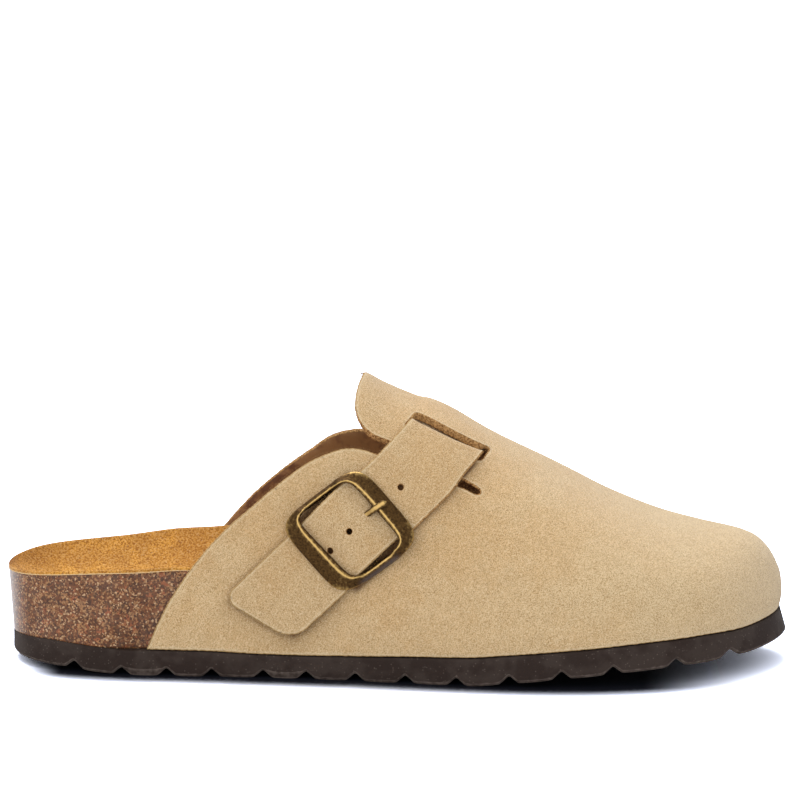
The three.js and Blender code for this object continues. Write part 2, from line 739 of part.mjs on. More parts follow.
// A straight plug through the upper or the strap, over a patch of strap coordinates.
function strapPlug(outlineAt, count, low, high) {
  const ring = range(count).slice(0, -1).map((k) => outlineAt(2 * Math.PI * k));
  const rings = [low, high].map((offset) => ring.map((p) => strapPoint(p.run, p.w, offset)));
  return solid(loft(rings, { capStart: true, capEnd: true }));
}

function slotCutter() {
  const half = strapWidth / 2 + slotEndRoom;
  const corner = 0.6;
  const edge = [];
  const stops = range(8).map((k) => lerp(-half, half, k));
  stops.forEach((w) => {
    const ease = Math.abs(w) === half ? corner : 0;
    edge.push({ run: slotRunAt(w) + clearance - ease, w });
  });
  stops.toReversed().forEach((w) => {
    const ease = Math.abs(w) === half ? corner : 0;
    edge.push({ run: slotRunAt(w) - slotWidth + ease, w });
  });
  const rings = [-2.5 * wall, 2.5 * wall].map((offset) => edge.map((p) => strapPoint(p.run, p.w, offset)));
  return solid(loft(rings, { capStart: true, capEnd: true }));
}

// The third hole lies at the buckle's middle.
const holeRuns = Array.from({ length: holeCount }, (_, i) => (2 - i) * holePitch);

function holeCutter(run) {
  const radius = holeDiameter / 2;
  const low = strapBack(run, holeShift) - 1;
  const ring = (angle) => ({
    run: run + radius * Math.cos(angle),
    w: holeShift + radius * Math.sin(angle),
  });
  return strapPlug(ring, 12, low, low + strapThickness + 2);
}

// Buckle

function roundedLoop(half, powerAlong, powerAcross, angle) {
  const c = Math.cos(angle);
  const s = Math.sin(angle);
  let low = 0;
  let high = 2 * Math.max(half.along, half.across);
  for (let i = 0; i < 40; i += 1) {
    const r = (low + high) / 2;
    const along = Math.abs((r * c) / half.along) ** powerAlong;
    const value = along + Math.abs((r * s) / half.across) ** powerAcross;
    if (value < 1) low = r;
    else high = r;
  }
  return { run: low * c, w: low * s };
}

function onFrame(run, w, offset) {
  const c = Math.cos(frameTurn);
  const s = Math.sin(frameTurn);
  return strapPoint(run * c - w * s, run * s + w * c, offset);
}

const endBarFloor = strapThickness + 1.6;
const sideBarFloor = clearance;

function buckleFrame() {
  const stations = 48;
  const rings = range(stations).slice(0, -1).map((k) => {
    const angle = 2 * Math.PI * k;
    const outer = roundedLoop(frameOuter, 4, 6, angle);
    const inner = roundedLoop(frameInner, 6, 8, angle);
    const onEnd = ramp(Math.abs(inner.run), 0.4 * frameInner.along, 0.68 * frameInner.along);
    const floor = lerp(sideBarFloor, endBarFloor, onEnd);
    const top = lerp(endBarFloor + 0.6, endBarFloor + frameHeight, onEnd);
    const section = [
      { k: 0, n: floor - 0.5 * onEnd },
      { k: 0, n: lerp(floor, top, lerp(0.72, 0.35, onEnd)) },
      { k: lerp(0.45, 0.7, onEnd), n: top },
      { k: lerp(0.8, 0.92, onEnd), n: top },
      { k: 1, n: top - 0.35 * frameHeight },
      { k: 1, n: floor },
    ];
    return section.map((p) => onFrame(lerp(outer.run, inner.run, p.k), lerp(outer.w, inner.w, p.k), p.n));
  });
  const frame = solid(loft(rings, { closed: true }));
  const reach = (frameOuter.across + frameInner.across) / 2;
  const bar = range(6).map((k) => {
    const w = lerp(-reach, reach, k);
    return range(8).slice(0, -1).map((j) => {
      const angle = 2 * Math.PI * j;
      const radius = barDiameter / 2;
      return onFrame(radius * Math.cos(angle), w, barHeight + radius * Math.sin(angle));
    });
  });
  return frame.add(solid(loft(bar, { capStart: true, capEnd: true })));
}

const barHeight = 0.5 + barDiameter / 2;

// The prong's middle line: it hooks over the bar under the strap, rises through the second hole and rests
// on the frame.
const prongRest = endBarFloor + frameHeight + clearance + prongThickness / 2;
const hookRadius = barDiameter / 2 + clearance + prongThickness / 2;
const prongLine = [
  { run: -hookRadius, n: barHeight },
  { run: -0.71 * hookRadius, n: barHeight + 0.71 * hookRadius },
  { run: 0, n: barHeight + hookRadius },
  { run: 3, n: barHeight + 0.75 * hookRadius },
  { run: 6.4, n: barHeight + 1.1 * hookRadius },
  { run: 9, n: 0.62 * prongRest },
  { run: 11.4, n: 0.93 * prongRest },
  { run: 13, n: prongRest },
  { run: 16.6, n: prongRest },
];

function prongRings(grow) {
  const side = new THREE.SplineCurve(prongLine.map((p) => new THREE.Vector2(p.run, p.n)));
  return range(18).map((k) => {
    const p = side.getPoint(k);
    const direction = side.getTangent(k);
    const taper = k > 0.97 ? 0.6 : 1;
    const halfWidth = (prongWidth / 2) * taper + grow;
    const halfThick = (prongThickness / 2) * taper + grow;
    return range(8).slice(0, -1).map((j) => {
      const angle = 2 * Math.PI * j + Math.PI / 8;
      const out = (halfThick / Math.cos(Math.PI / 8)) * Math.sin(angle);
      const lean = prongLean * (p.x - holePitch);
      const w = holeShift + lean + (halfWidth / Math.cos(Math.PI / 8)) * Math.cos(angle);
      return onFrame(p.x - out * direction.y, w, p.y + out * direction.x);
    });
  });
}

const prongBody = (grow) => solid(loft(prongRings(grow), { capStart: true, capEnd: true }));

function strap() {
  let body = strapBody();
  for (const run of holeRuns) body = body.subtract(holeCutter(run));
  return body.subtract(prongBody(clearance));
}

// Assembly

const finishes = {
  suede: { color: 0xc8ab7d, roughness: 0.95, metalness: 0 },
  cork: { color: 0x6f4f3a, roughness: 0.6, metalness: 0 },
  liner: { color: 0xc8924a, roughness: 0.95, metalness: 0 },
  rubber: { color: 0x3a2e2a, roughness: 0.8, metalness: 0 },
  brass: { color: 0x8a7440, roughness: 0.35, metalness: 1 },
};

function piece(name, made, finish) {
  const mesh = new THREE.Mesh(geometryOf(made), new THREE.MeshStandardMaterial(finishes[finish]));
  mesh.name = name;
  return mesh;
}

const mule = new THREE.Group();
mule.position.x = -heelRest;
mule.add(piece("outsole", outsole(), "rubber"));
mule.add(piece("footbed", footbed(), "cork"));
mule.add(piece("insole", insole(), "liner"));
mule.add(piece("upper", upper(slotCutter()), "suede"));
mule.add(piece("strap", strap(), "suede"));
mule.add(piece("buckle_frame", buckleFrame(), "brass"));
mule.add(piece("buckle_prong", prongBody(0), "brass"));

export default mule;
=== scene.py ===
# A suede mule with a buckled strap, on a varnished cork footbed and a lugged outsole.
# Shapes are worked out in millimetres in the frame of the last: x from the back of the heel to the toe,
# y to the medial side and z up from the floor. A mesh takes them in metres, with the origin under the heel.
import math
from types import SimpleNamespace

import bpy
import numpy as np
from bpy.props import FloatProperty, FloatVectorProperty, IntProperty, PointerProperty
from bpy.types import Operator, Panel, PropertyGroup
from mathutils import Matrix, Vector, kdtree
from mathutils.geometry import delaunay_2d_cdt


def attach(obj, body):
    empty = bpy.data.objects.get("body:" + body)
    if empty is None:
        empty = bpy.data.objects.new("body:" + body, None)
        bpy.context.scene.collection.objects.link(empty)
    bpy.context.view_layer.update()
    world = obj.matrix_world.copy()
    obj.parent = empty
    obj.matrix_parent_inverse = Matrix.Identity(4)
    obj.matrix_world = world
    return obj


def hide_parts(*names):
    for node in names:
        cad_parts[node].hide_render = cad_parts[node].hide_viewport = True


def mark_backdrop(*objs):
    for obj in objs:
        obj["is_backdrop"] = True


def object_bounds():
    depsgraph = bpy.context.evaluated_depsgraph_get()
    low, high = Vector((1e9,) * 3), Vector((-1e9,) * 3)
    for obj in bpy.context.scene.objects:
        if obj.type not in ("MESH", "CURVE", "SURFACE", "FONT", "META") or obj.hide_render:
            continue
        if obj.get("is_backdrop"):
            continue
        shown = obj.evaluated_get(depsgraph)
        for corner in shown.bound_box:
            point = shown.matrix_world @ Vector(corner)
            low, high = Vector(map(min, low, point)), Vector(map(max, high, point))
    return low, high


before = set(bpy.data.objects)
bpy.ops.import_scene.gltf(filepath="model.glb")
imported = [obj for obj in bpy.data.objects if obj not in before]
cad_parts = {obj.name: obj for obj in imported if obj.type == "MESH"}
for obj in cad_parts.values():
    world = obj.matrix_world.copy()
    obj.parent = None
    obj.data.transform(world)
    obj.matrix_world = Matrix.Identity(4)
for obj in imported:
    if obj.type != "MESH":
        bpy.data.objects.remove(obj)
CAD_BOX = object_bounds()

bl_info = {
    "name": "Suede Mule",
    "version": (1, 0, 0),
    "blender": (4, 5, 0),
    "location": "3D View > Sidebar > Mule",
    "description": "Dresses the solids of a buckled suede mule",
    "category": "Add Mesh",
}

MM = 0.001
BODY = "root"


# Settings


def size(name, description, default):
    """A length in metres."""
    return FloatProperty(name=name, description=description, default=default, unit="LENGTH", precision=4)


def turn(name, description, degrees):
    """An angle, given here in degrees."""
    return FloatProperty(name=name, description=description, default=math.radians(degrees), unit="ROTATION")


def share(name, description, default):
    """A plain number."""
    return FloatProperty(name=name, description=description, default=default)


def linear(code):
    """A colour code as linear red, green and blue."""
    parts = [(code >> shift & 255) / 255 for shift in (16, 8, 0)]
    return tuple(c / 12.92 if c < 0.04045 else ((c + 0.055) / 1.055) ** 2.4 for c in parts)


def tint(name, description, code):
    """A colour of a finish."""
    return FloatVectorProperty(
        name=name, description=description, default=linear(code), subtype="COLOR", min=0, max=1
    )


class MuleLastSettings(PropertyGroup):
    """Driving sizes of the last and of the bottom."""

    length: size("Length", "Feather line, from the back of the heel to the tip of the toe", 0.2795)
    ball_width: size("Ball width", "Width that the rows at the ball are shares of", 0.1031)
    heel_width: size("Heel width", "Width that the rows at the heel are shares of", 0.071)
    instep_height: size("Instep height", "Floor to the tip of the tongue flap", 0.1054)
    toe_spring: size("Toe spring", "Rise of the outsole's underside at the toe", 0.0102)
    sole_thickness: size("Sole thickness", "Thickness that the outsole's rows are shares of", 0.0096)
    lug_depth: size("Lug depth", "Depth of the notches between the lugs", 0.0027)
    notch_width: size("Notch width", "Width of a notch at the outsole's edge", 0.0066)
    edge_chamfer: size("Edge chamfer", "Bevel along the lower edge of the lugs", 0.0009)
    set_back_chamfer: size("Set-back bevel", "Height of the bevel of the lugs that are set back", 0.0024)
    toe_flare: size("Toe flare", "How far the outsole's lower edge stands out at the toe", 0.0023)
    tread_wave: size("Tread wave", "Swing of the tread lines", 0.0022)
    tread_wave_length: size("Tread wave length", "Length of one wave of a tread line", 0.034)
    rim_height: size("Rim height", "Floor to the lateral rim of the footbed", 0.0389)
    cork_flare: size("Cork flare", "How far the cork leans out at the back of the heel", 0.0022)
    liner_thickness: size("Liner thickness", "Suede that covers the footbed", 0.0012)
    wall: size("Upper's wall", "Suede with its lining", 0.0022)
    ledge: size("Ledge", "Outsole left proud of the upper", 0.0005)
    toe_bulge: size("Toe bulge", "Swell of the upper over the feather line", 0.0013)
    bulge_height: size("Bulge height", "Height of that swell over the feather line", 0.008)
    clearance: size("Clearance", "Gap between two pieces", 0.0003)
    rebate: size("Rebate", "Length over which the cork steps in before the upper's edge", 0.01)


class MuleStrapSettings(PropertyGroup):
    """Driving sizes of the strap and its slot."""

    width: size("Strap width", "Width of the strap", 0.0284)
    thickness: size("Strap thickness", "Thickness of the strap", 0.0022)
    angle: turn("Strap angle", "Slope of the strap, seen from the side", 43.6)
    tail: size("Tail", "Buckle's middle to the strap's end", 0.0462)
    tail_skew: share("Tail skew", "How far the end is cut askew", 0.3)
    rear_corner: size("Rear corner", "Radius of the end's rear corner", 0.006)
    front_corner: size("Front corner", "Radius of the end's front corner", 0.007)
    inside: size("Inside length", "Length hidden past the slot", 0.034)
    slot_distance: size("Slot distance", "Buckle's middle to the slot's upper edge", 0.0492)
    slot_skew: share("Slot skew", "How far the slot is cut askew", 0.39)
    slot_width: size("Slot width", "Opening of the slot along the strap", 0.0095)
    slot_end_room: size("Slot end room", "How far the slot's front end is moved out", 0.0004)
    hole_pitch: size("Hole pitch", "Distance between two holes", 0.0118)
    hole_diameter: size("Hole diameter", "Diameter of a hole", 0.0026)
    hole_count: IntProperty(name="Holes", description="Number of holes in the strap", default=4)
    hole_shift: size("Hole shift", "How far the row of holes lies off the strap's middle", -0.0008)


class MuleBuckleSettings(PropertyGroup):
    """Driving sizes of the buckle."""

    outer_along: size("Outer length", "Half the frame's length along the strap", 0.0179)
    outer_across: size("Outer width", "Half the frame's width across the strap", 0.0178)
    inner_along: size("Inner length", "Half the opening's length along the strap", 0.0119)
    inner_across: size("Inner width", "Half the opening's width across the strap", 0.0155)
    height: size("Frame height", "Rise of the frame over the end bars' floor", 0.0024)
    turn: turn("Frame turn", "How far the frame sits askew on the strap", 4.5)
    skew_end: share("End bars' skew", "How far the end bars lean along the strap", 0.08)
    skew_side: share("Side bars' skew", "How far the side bars lean across the strap", 0.042)
    bar_diameter: size("Bar diameter", "Hidden bar that the prong turns on", 0.0014)
    prong_width: size("Prong width", "Width of the prong", 0.0023)
    prong_thickness: size("Prong thickness", "Thickness of the prong", 0.0014)
    prong_lean: share("Prong lean", "How far the prong turns off the frame's own axis", 0.12)


class MuleColours(PropertyGroup):
    """Colours of the finishes."""

    suede: tint("Suede", "Napped face of the upper and the strap", 0xD9B27E)
    suede_light: tint("Suede, brushed", "Where the nap lies towards the light", 0xE3C79B)
    # Painted light: the suede is made paler towards the toe.
    suede_pale: tint("Suede, pale", "Brushed suede towards the toe", 0xE4CCA2)
    # Also the painted shade on the upper, over the flap's tip and beside the strap's tail.
    suede_dark: tint("Suede, ruffled", "Where the nap stands against the light", 0x9C7A4E)
    suede_lip: tint("Suede lip", "Worn lip along a cut edge", 0xE6D2AC)
    cut_edge_pale: tint("Cut edge, pale", "Fibres of a cut edge that has worn pale", 0xC0A274)
    cut_edge: tint("Cut edge", "Fibres of a cut edge", 0xCD9E68)
    # Also the painted shade on the upper under the strap and the buckle.
    cut_edge_dark: tint("Cut edge, deep", "Between the fibres of a cut edge", 0x5E3A1A)
    lining: tint("Lining", "Smooth lining inside the upper", 0x64402A)
    cork: tint("Cork", "Ground of the cork", 0x76482A)
    cork_dark: tint("Cork, dark", "Dark chips of the cork", 0x43291C)
    cork_tan: tint("Cork, tan", "Tan chips of the cork", 0xB5875A)
    cork_cream: tint("Cork, cream", "Cream chips of the cork", 0xCBA57E)
    cork_rust: tint("Cork, rust", "Reddish chips of the cork", 0x9C5A38)
    liner: tint("Liner", "Suede that covers the footbed", 0xD6993E)
    liner_dark: tint("Liner, dark", "Ruffled nap of the liner", 0x93602A)
    liner_edge: tint("Liner edge", "Pale cut edge of the liner", 0xDCC39A)
    rubber: tint("Rubber", "Ground of the outsole", 0x271912)
    rubber_light: tint("Rubber, scuffed", "Specks and scuffed edges of the outsole", 0x6E625A)
    brass: tint("Brass", "Polished ridges of the buckle", 0xC8A566)
    patina: tint("Patina", "Aged faces of the buckle", 0x5E4426)
    patina_dark: tint("Patina, dark", "Darkest faces of the buckle", 0x2C1D10)
    # A painted reflection on one side bar of the buckle.
    brass_grey: tint("Brass, dulled", "Dulled outer face of one bar of the buckle", 0x85858E)
    floor: tint("Floor", "Studio floor, for the light that it throws back", 0xDADADC)
    floor_seen: tint("Floor, seen", "Studio floor, as it shows", 0xEAEFFF)
    floor_shade: tint("Floor, shaded", "Studio floor right beside the sole", 0x14151F)
    sky: tint("Sky", "Light from all round", 0xFBFDFF)
    key: tint("Key light", "Light from above and behind", 0xFCFDFF)


class MuleStudioSettings(PropertyGroup):
    """Camera, light and floor."""

    camera_right: size("Camera along", "Place of the camera along the shoe", 0.09109)
    camera_back: size("Camera distance", "Distance of the camera from the shoe", 1.96651)
    camera_up: size("Camera height", "Height of the camera over the floor", 0.41327)
    camera_dip: turn("Camera dip", "How far the camera looks down", 9.188)
    camera_roll: turn("Camera roll", "How far the camera leans", 0.46)
    focal_length: share("Focal length", "Focal length in millimetres on a 36 mm sensor", 247.5)
    sky: share("Sky", "Strength of the light from all round", 0.7)
    key: share("Key light", "Strength of the light from above and behind", 2.3)
    fill: share("Fill light", "Strength of the light from in front", 1.05)
    floor_glare: share("Floor glare", "How much brighter the floor shows than its colour", 2.3)


# Rows, under named columns. They are shares of the driving sizes where nothing else is said.


def table(columns, *rows):
    """Rows of numbers as one array for each named column."""
    return {name: np.array(column, float) for name, column in zip(columns.split(), zip(*rows))}


# Half widths of the feather line. The first rows are shares of the heel's width, the others of the ball's.
HEEL_ROWS = table(
    "at lateral medial",
    (0, 0, 0),
    (0.02, 0.265, 0.265),
    (0.06, 0.4, 0.4),
    (0.12, 0.479, 0.465),
    (0.2, 0.514, 0.483),
    (0.3, 0.532, 0.479),
)
BALL_ROWS = table(
    "at lateral medial",
    (0.4, 0.393, 0.338),
    (0.5, 0.441, 0.378),
    (0.6, 0.491, 0.438),
    (0.7, 0.519, 0.481),
    (0.78, 0.504, 0.487),
    (0.86, 0.436, 0.452),
    (0.93, 0.306, 0.369),
    (0.975, 0.146, 0.257),
    (1, -0.087, 0.087),
)

# Outsole: lift of its underside as a share of the toe spring, thickness as a share of the sole's.
SOLE_ROWS = table(
    "at lift thick",
    (0, 0.29, 0.82),
    (0.063, 0.186, 0.97),
    (0.118, 0.06, 0.97),
    (0.15, 0, 0.97),
    (0.243, 0, 0.96),
    (0.315, 0, 0.885),
    (0.368, 0, 0.865),
    (0.44, 0, 0.905),
    (0.512, 0, 0.98),
    (0.583, 0, 1.04),
    (0.637, 0.118, 1.05),
    (0.69, 0.284, 1.02),
    (0.744, 0.43, 1.01),
    (0.816, 0.6, 1.01),
    (0.887, 0.706, 1.01),
    (0.945, 0.814, 0.93),
    (1, 1, 0.92),
)

# Notches between the lugs, in shares of the length, and the lugs that are set back.
NOTCHES = np.array(
    (0.084, 0.146, 0.204, 0.262, 0.328, 0.383, 0.446, 0.51, 0.575, 0.642, 0.709, 0.775, 0.857, 0.926)
)
SET_BACK_LUGS = (2, 5)

# Crest of the upper: height as a share of the instep's, side as a share of the ball's width towards the
# medial side, and the power of the arched section.
CREST_ROWS = table(
    "at height side round",
    (0.1, 0.93, 0, 2.2),
    (0.215, 0.995, 0, 2.2),
    (0.322, 1.02, 0, 2.2),
    (0.394, 1.022, 0, 2.2),
    (0.454, 1.003, 0, 2.2),
    (0.482, 0.968, 0, 2.2),
    (0.511, 0.936, 0, 2.2),
    (0.526, 0.921, 0, 2.2),
    (0.54, 0.914, 0.001, 2.2),
    (0.565, 0.887, 0.002, 2.2),
    (0.619, 0.803, 0.005, 2.22),
    (0.675, 0.727, 0.01, 2.25),
    (0.73, 0.654, 0.016, 2.3),
    (0.785, 0.579, 0.023, 2.35),
    (0.84, 0.521, 0.03, 2.4),
    (0.895, 0.484, 0.038, 2.42),
    (0.932, 0.465, 0.046, 2.4),
    (0.95, 0.453, 0.053, 2.36),
    (0.9685, 0.43, 0.062, 2.3),
    (0.984, 0.386, 0.073, 2.25),
    (0.993, 0.338, 0.08, 2.2),
    (0.9982, 0.29, 0.085, 2.2),
    (0.99965, 0.243, 0.087, 2.2),
    (1, 0.178, 0.087, 2.2),
)

# Footbed: both rims and the middle in shares of the rim's height, and the power that the foot's surface
# climbs to its rims with.
BED_ROWS = table(
    "at lateral medial middle cup",
    (0, 0.885, 0.885, 0.885, 3.2),
    (0.012, 0.903, 0.905, 0.78, 3.2),
    (0.036, 0.925, 0.93, 0.67, 3.2),
    (0.086, 0.963, 0.96, 0.622, 3.2),
    (0.147, 0.992, 1, 0.62, 3.2),
    (0.206, 1.01, 1.06, 0.63, 3),
    (0.275, 1, 1.115, 0.66, 2.6),
    (0.34, 0.97, 1.13, 0.69, 2.4),
    (0.43, 0.86, 1.03, 0.66, 2.6),
    (0.54, 0.74, 0.8, 0.55, 3.4),
    (0.72, 0.63, 0.63, 0.49, 4),
    (0.9, 0.62, 0.62, 0.53, 3.5),
    (1, 0.57, 0.57, 0.57, 3),
)

# Edges of the upper, seen from the side: x as a share of the length, z as a share of the instep's height.
LATERAL_EDGE = table(
    "x z",
    (0.1785, 0.094),
    (0.2054, 0.25),
    (0.2408, 0.391),
    (0.2769, 0.5),
    (0.3123, 0.5835),
    (0.3481, 0.664),
    (0.3835, 0.7325),
    (0.4193, 0.773),
    (0.444, 0.781),
    (0.4723, 0.764),
    (0.52, 0.716),
    (0.58, 0.6605),
    (0.597, 0.641),
    (0.604, 0.641),
    (0.603, 0.654),
    (0.587, 0.679),
    (0.54, 0.742),
    (0.51, 0.783),
)
MEDIAL_EDGE = table(
    "x z",
    (0.204, 0.09),
    (0.229, 0.25),
    (0.2655, 0.391),
    (0.3045, 0.513),
    (0.3455, 0.613),
    (0.3845, 0.692),
    (0.4086, 0.738),
    (0.4284, 0.757),
    (0.4492, 0.763),
    (0.4723, 0.753),
    (0.51, 0.722),
    (0.54, 0.702),
    (0.548, 0.71),
    (0.545, 0.726),
    (0.515, 0.762),
)
FLAP_EDGE = table(
    "x z",
    (0.4877, 0.803),
    (0.4655, 0.8255),
    (0.4497, 0.8634),
    (0.4433, 0.9127),
    (0.4465, 0.9706),
    (0.4545, 1.002),
)

# How much shorter the flap is on the medial side, as a share of the length.
MEDIAL_FLAP_SHIFT = 0.008

# How high the strap's back stands off the upper along the buckle, in millimetres.
STRAP_LIFT = table(
    "run lift",
    (-30, 0.3),
    (-20, 0.5),
    (-15, 0.8),
    (-8, 2),
    (-3, 3),
    (1, 3.2),
    (4, 3),
    (7, 2.4),
    (10.5, 1.3),
    (14, 0.8),
    (20, 0.5),
    (30, 0.3),
)

# Place of the buckle's middle, seen from the side, in shares of the length and the instep's height.
BUCKLE_MIDDLE = (0.4408, 0.5057)

# Soft troughs and swells of the suede, one by one: a line from one point of the side view to another,
# how wide it fades, and its height in millimetres.
LATERAL_FORMS = table(
    "x1 z1 x2 z2 width height",
    (0.36, 0.22, 0.47, 0.13, 9.0, -0.5),
    (0.56, 0.5, 0.66, 0.3, 11.0, 0.45),
    (0.62, 0.62, 0.72, 0.42, 8.0, -0.45),
    (0.78, 0.38, 0.9, 0.3, 12.0, 0.5),
    (0.25, 0.3, 0.3, 0.46, 7.0, -0.35),
    (0.53, 0.84, 0.6, 0.74, 6.0, 0.35),
    (0.66, 0.2, 0.78, 0.22, 8.0, -0.35),
)

# Rounded cuts through the leather: distance out from the pattern's edge and depth under the face, in
# millimetres.
UPPER_RIM = (
    (-0.45, 0.0),
    (-0.16, 0.06),
    (-0.02, 0.26),
    (0.04, 0.7),
    (0.05, 1.2),
    (0.02, 1.7),
    (-0.08, 2.05),
    (-0.3, 2.2),
)
STRAP_RIM = (
    (-0.5, 0.0),
    (-0.2, 0.06),
    (-0.03, 0.26),
    (0.0, 0.6),
    (0.02, 1.1),
    (0.0, 1.6),
    (-0.12, 2.0),
    (-0.4, 2.2),
)

# How far the strap is drawn in, in millimetres: at its front edge under the buckle, and at both edges
# towards the slot.
PINCH_AT_BUCKLE = 1.4
PINCH_AT_SLOT = 1.2

# How far each hole of the strap lies off its place in an even row: along the strap and across it,
# in millimetres.
HOLE_ROWS = ((0.0, 1.45), (0.0, 0.35), (0.2, 0.45), (2.2, 0.6))

# Section of the buckle's frame, on a side bar and on an end bar: share of the way from the outer to the
# inner edge and level between floor and top. Then how bright the metal is there, worn and partly a painted
# highlight along the inner ridge, and how much more worn at a corner.
BUCKLE_ROWS = table(
    "side end side_level end_level wear corner",
    (0.06, 0.03, 0.0, -0.1, 0.0, 0.0),
    (0.0, 0.0, 0.12, 0.0, 0.1, 0.2),
    (0.0, 0.0, 0.5, 0.2, 0.3, 0.35),
    (0.03, 0.015, 0.68, 0.31, 0.45, 0.4),
    (0.12, 0.06, 0.78, 0.4, 0.25, 0.35),
    (0.25, 0.3, 0.88, 0.6, 0.12, 0.25),
    (0.36, 0.52, 0.95, 0.79, 0.3, 0.1),
    (0.42, 0.62, 0.98, 0.88, 0.36, 0.0),
    (0.46, 0.68, 1.0, 0.95, 0.42, 0.0),
    (0.55, 0.74, 1.02, 1.0, 0.5, 0.0),
    (0.66, 0.81, 1.02, 1.02, 0.95, 0.0),
    (0.78, 0.88, 1.0, 1.0, 0.55, 0.0),
    (0.88, 0.94, 0.93, 0.93, 0.48, 0.0),
    (0.96, 0.985, 0.8, 0.8, 0.4, 0.0),
    (1.0, 1.0, 0.6, 0.62, 0.2, 0.0),
    (1.0, 1.0, 0.2, 0.2, 0.0, 0.0),
    (0.94, 0.97, 0.0, 0.0, 0.0, 0.0),
)


# Curves


def lerp(a, b, k):
    """The value at the share k of the way from a to b."""
    return a + (b - a) * k


def ramp(x, start, end):
    """0 before start and 1 past end, with a smooth rise between them."""
    k = np.clip((x - start) / (end - start), 0, 1)
    return k * k * (3 - 2 * k)


def unit(vectors):
    """Vectors along the last axis at length 1."""
    return vectors / np.maximum(np.linalg.norm(vectors, axis=-1, keepdims=True), 1e-9)


def bisect(below, low, high, steps=36):
    """Where below(x) stops being true between low and high, for whole arrays."""
    for _ in range(steps):
        middle = (low + high) / 2
        short = below(middle)
        low = np.where(short, middle, low)
        high = np.where(short, high, middle)
    return (low + high) / 2


class Curve:
    """A smooth curve through rows that never overshoots them, so that a flat stretch stays flat."""

    def __init__(self, keys, values):
        self.keys = keys
        self.values = values
        rise = np.diff(values) / np.diff(keys)
        before, after = rise[:-1], rise[1:]
        mean = (before + after) / 2
        most = 3 * np.minimum(np.abs(before), np.abs(after))
        held = np.sign(mean) * np.minimum(np.abs(mean), most)
        self.slopes = np.concatenate([rise[:1], np.where(before * after > 0, held, 0), rise[-1:]])

    def __call__(self, x):
        x = np.clip(x, self.keys[0], self.keys[-1])
        i = np.clip(np.searchsorted(self.keys, x) - 1, 0, len(self.keys) - 2)
        span = self.keys[i + 1] - self.keys[i]
        k = (x - self.keys[i]) / span
        k2, k3 = k * k, k * k * k
        ends = self.values[i] * (2 * k3 - 3 * k2 + 1) + self.values[i + 1] * (3 * k2 - 2 * k3)
        return ends + span * (self.slopes[i] * (k3 - 2 * k2 + k) + self.slopes[i + 1] * (k3 - k2))


def spline(points, count):
    """A flowing line through points, with count steps from each to the next."""
    points = np.asarray(points, float)
    padded = np.vstack([points[:1], points, points[-1:]])
    k = (np.arange(count) / count)[:, None]
    spans = []
    for before, start, end, after in zip(padded, padded[1:], padded[2:], padded[3:]):
        leave, arrive = (end - before) / 2, (after - start) / 2
        spans.append(
            start * (2 * k**3 - 3 * k**2 + 1)
            + end * (3 * k**2 - 2 * k**3)
            + leave * (k**3 - 2 * k**2 + k)
            + arrive * (k**3 - k**2)
        )
    return np.vstack([*spans, points[-1:]])


def along(points):
    """Distance from the first point to each, along the line."""
    steps = np.linalg.norm(np.diff(points, axis=0), axis=1)
    return np.concatenate([[0], np.cumsum(steps)])


def evenly(points, spacing):
    """The line with points at even distances, its two ends kept."""
    distance = along(points)
    count = max(2, int(round(distance[-1] / spacing)))
    stops = np.linspace(0, distance[-1], count + 1)
    return np.column_stack([np.interp(stops, distance, axis) for axis in points.T])


def station(at):
    """An angle-like measure, 0 at the heel and 1 at the toe, which crowds sections at both ends."""
    return np.arccos(1 - 2 * np.clip(at, 0, 1)) / math.pi


def share_at(u):
    """The share of the length at a station."""
    return (1 - np.cos(math.pi * u)) / 2


def in_millimetres(settings):
    """The settings' lengths in millimetres, and their other values as they are."""
    values = {}
    for item in settings.bl_rna.properties:
        if item.type not in ("FLOAT", "INT"):
            continue
        value = getattr(settings, item.identifier)
        values[item.identifier] = value / MM if getattr(item, "unit", "") == "LENGTH" else value
    return SimpleNamespace(**values)


# The last


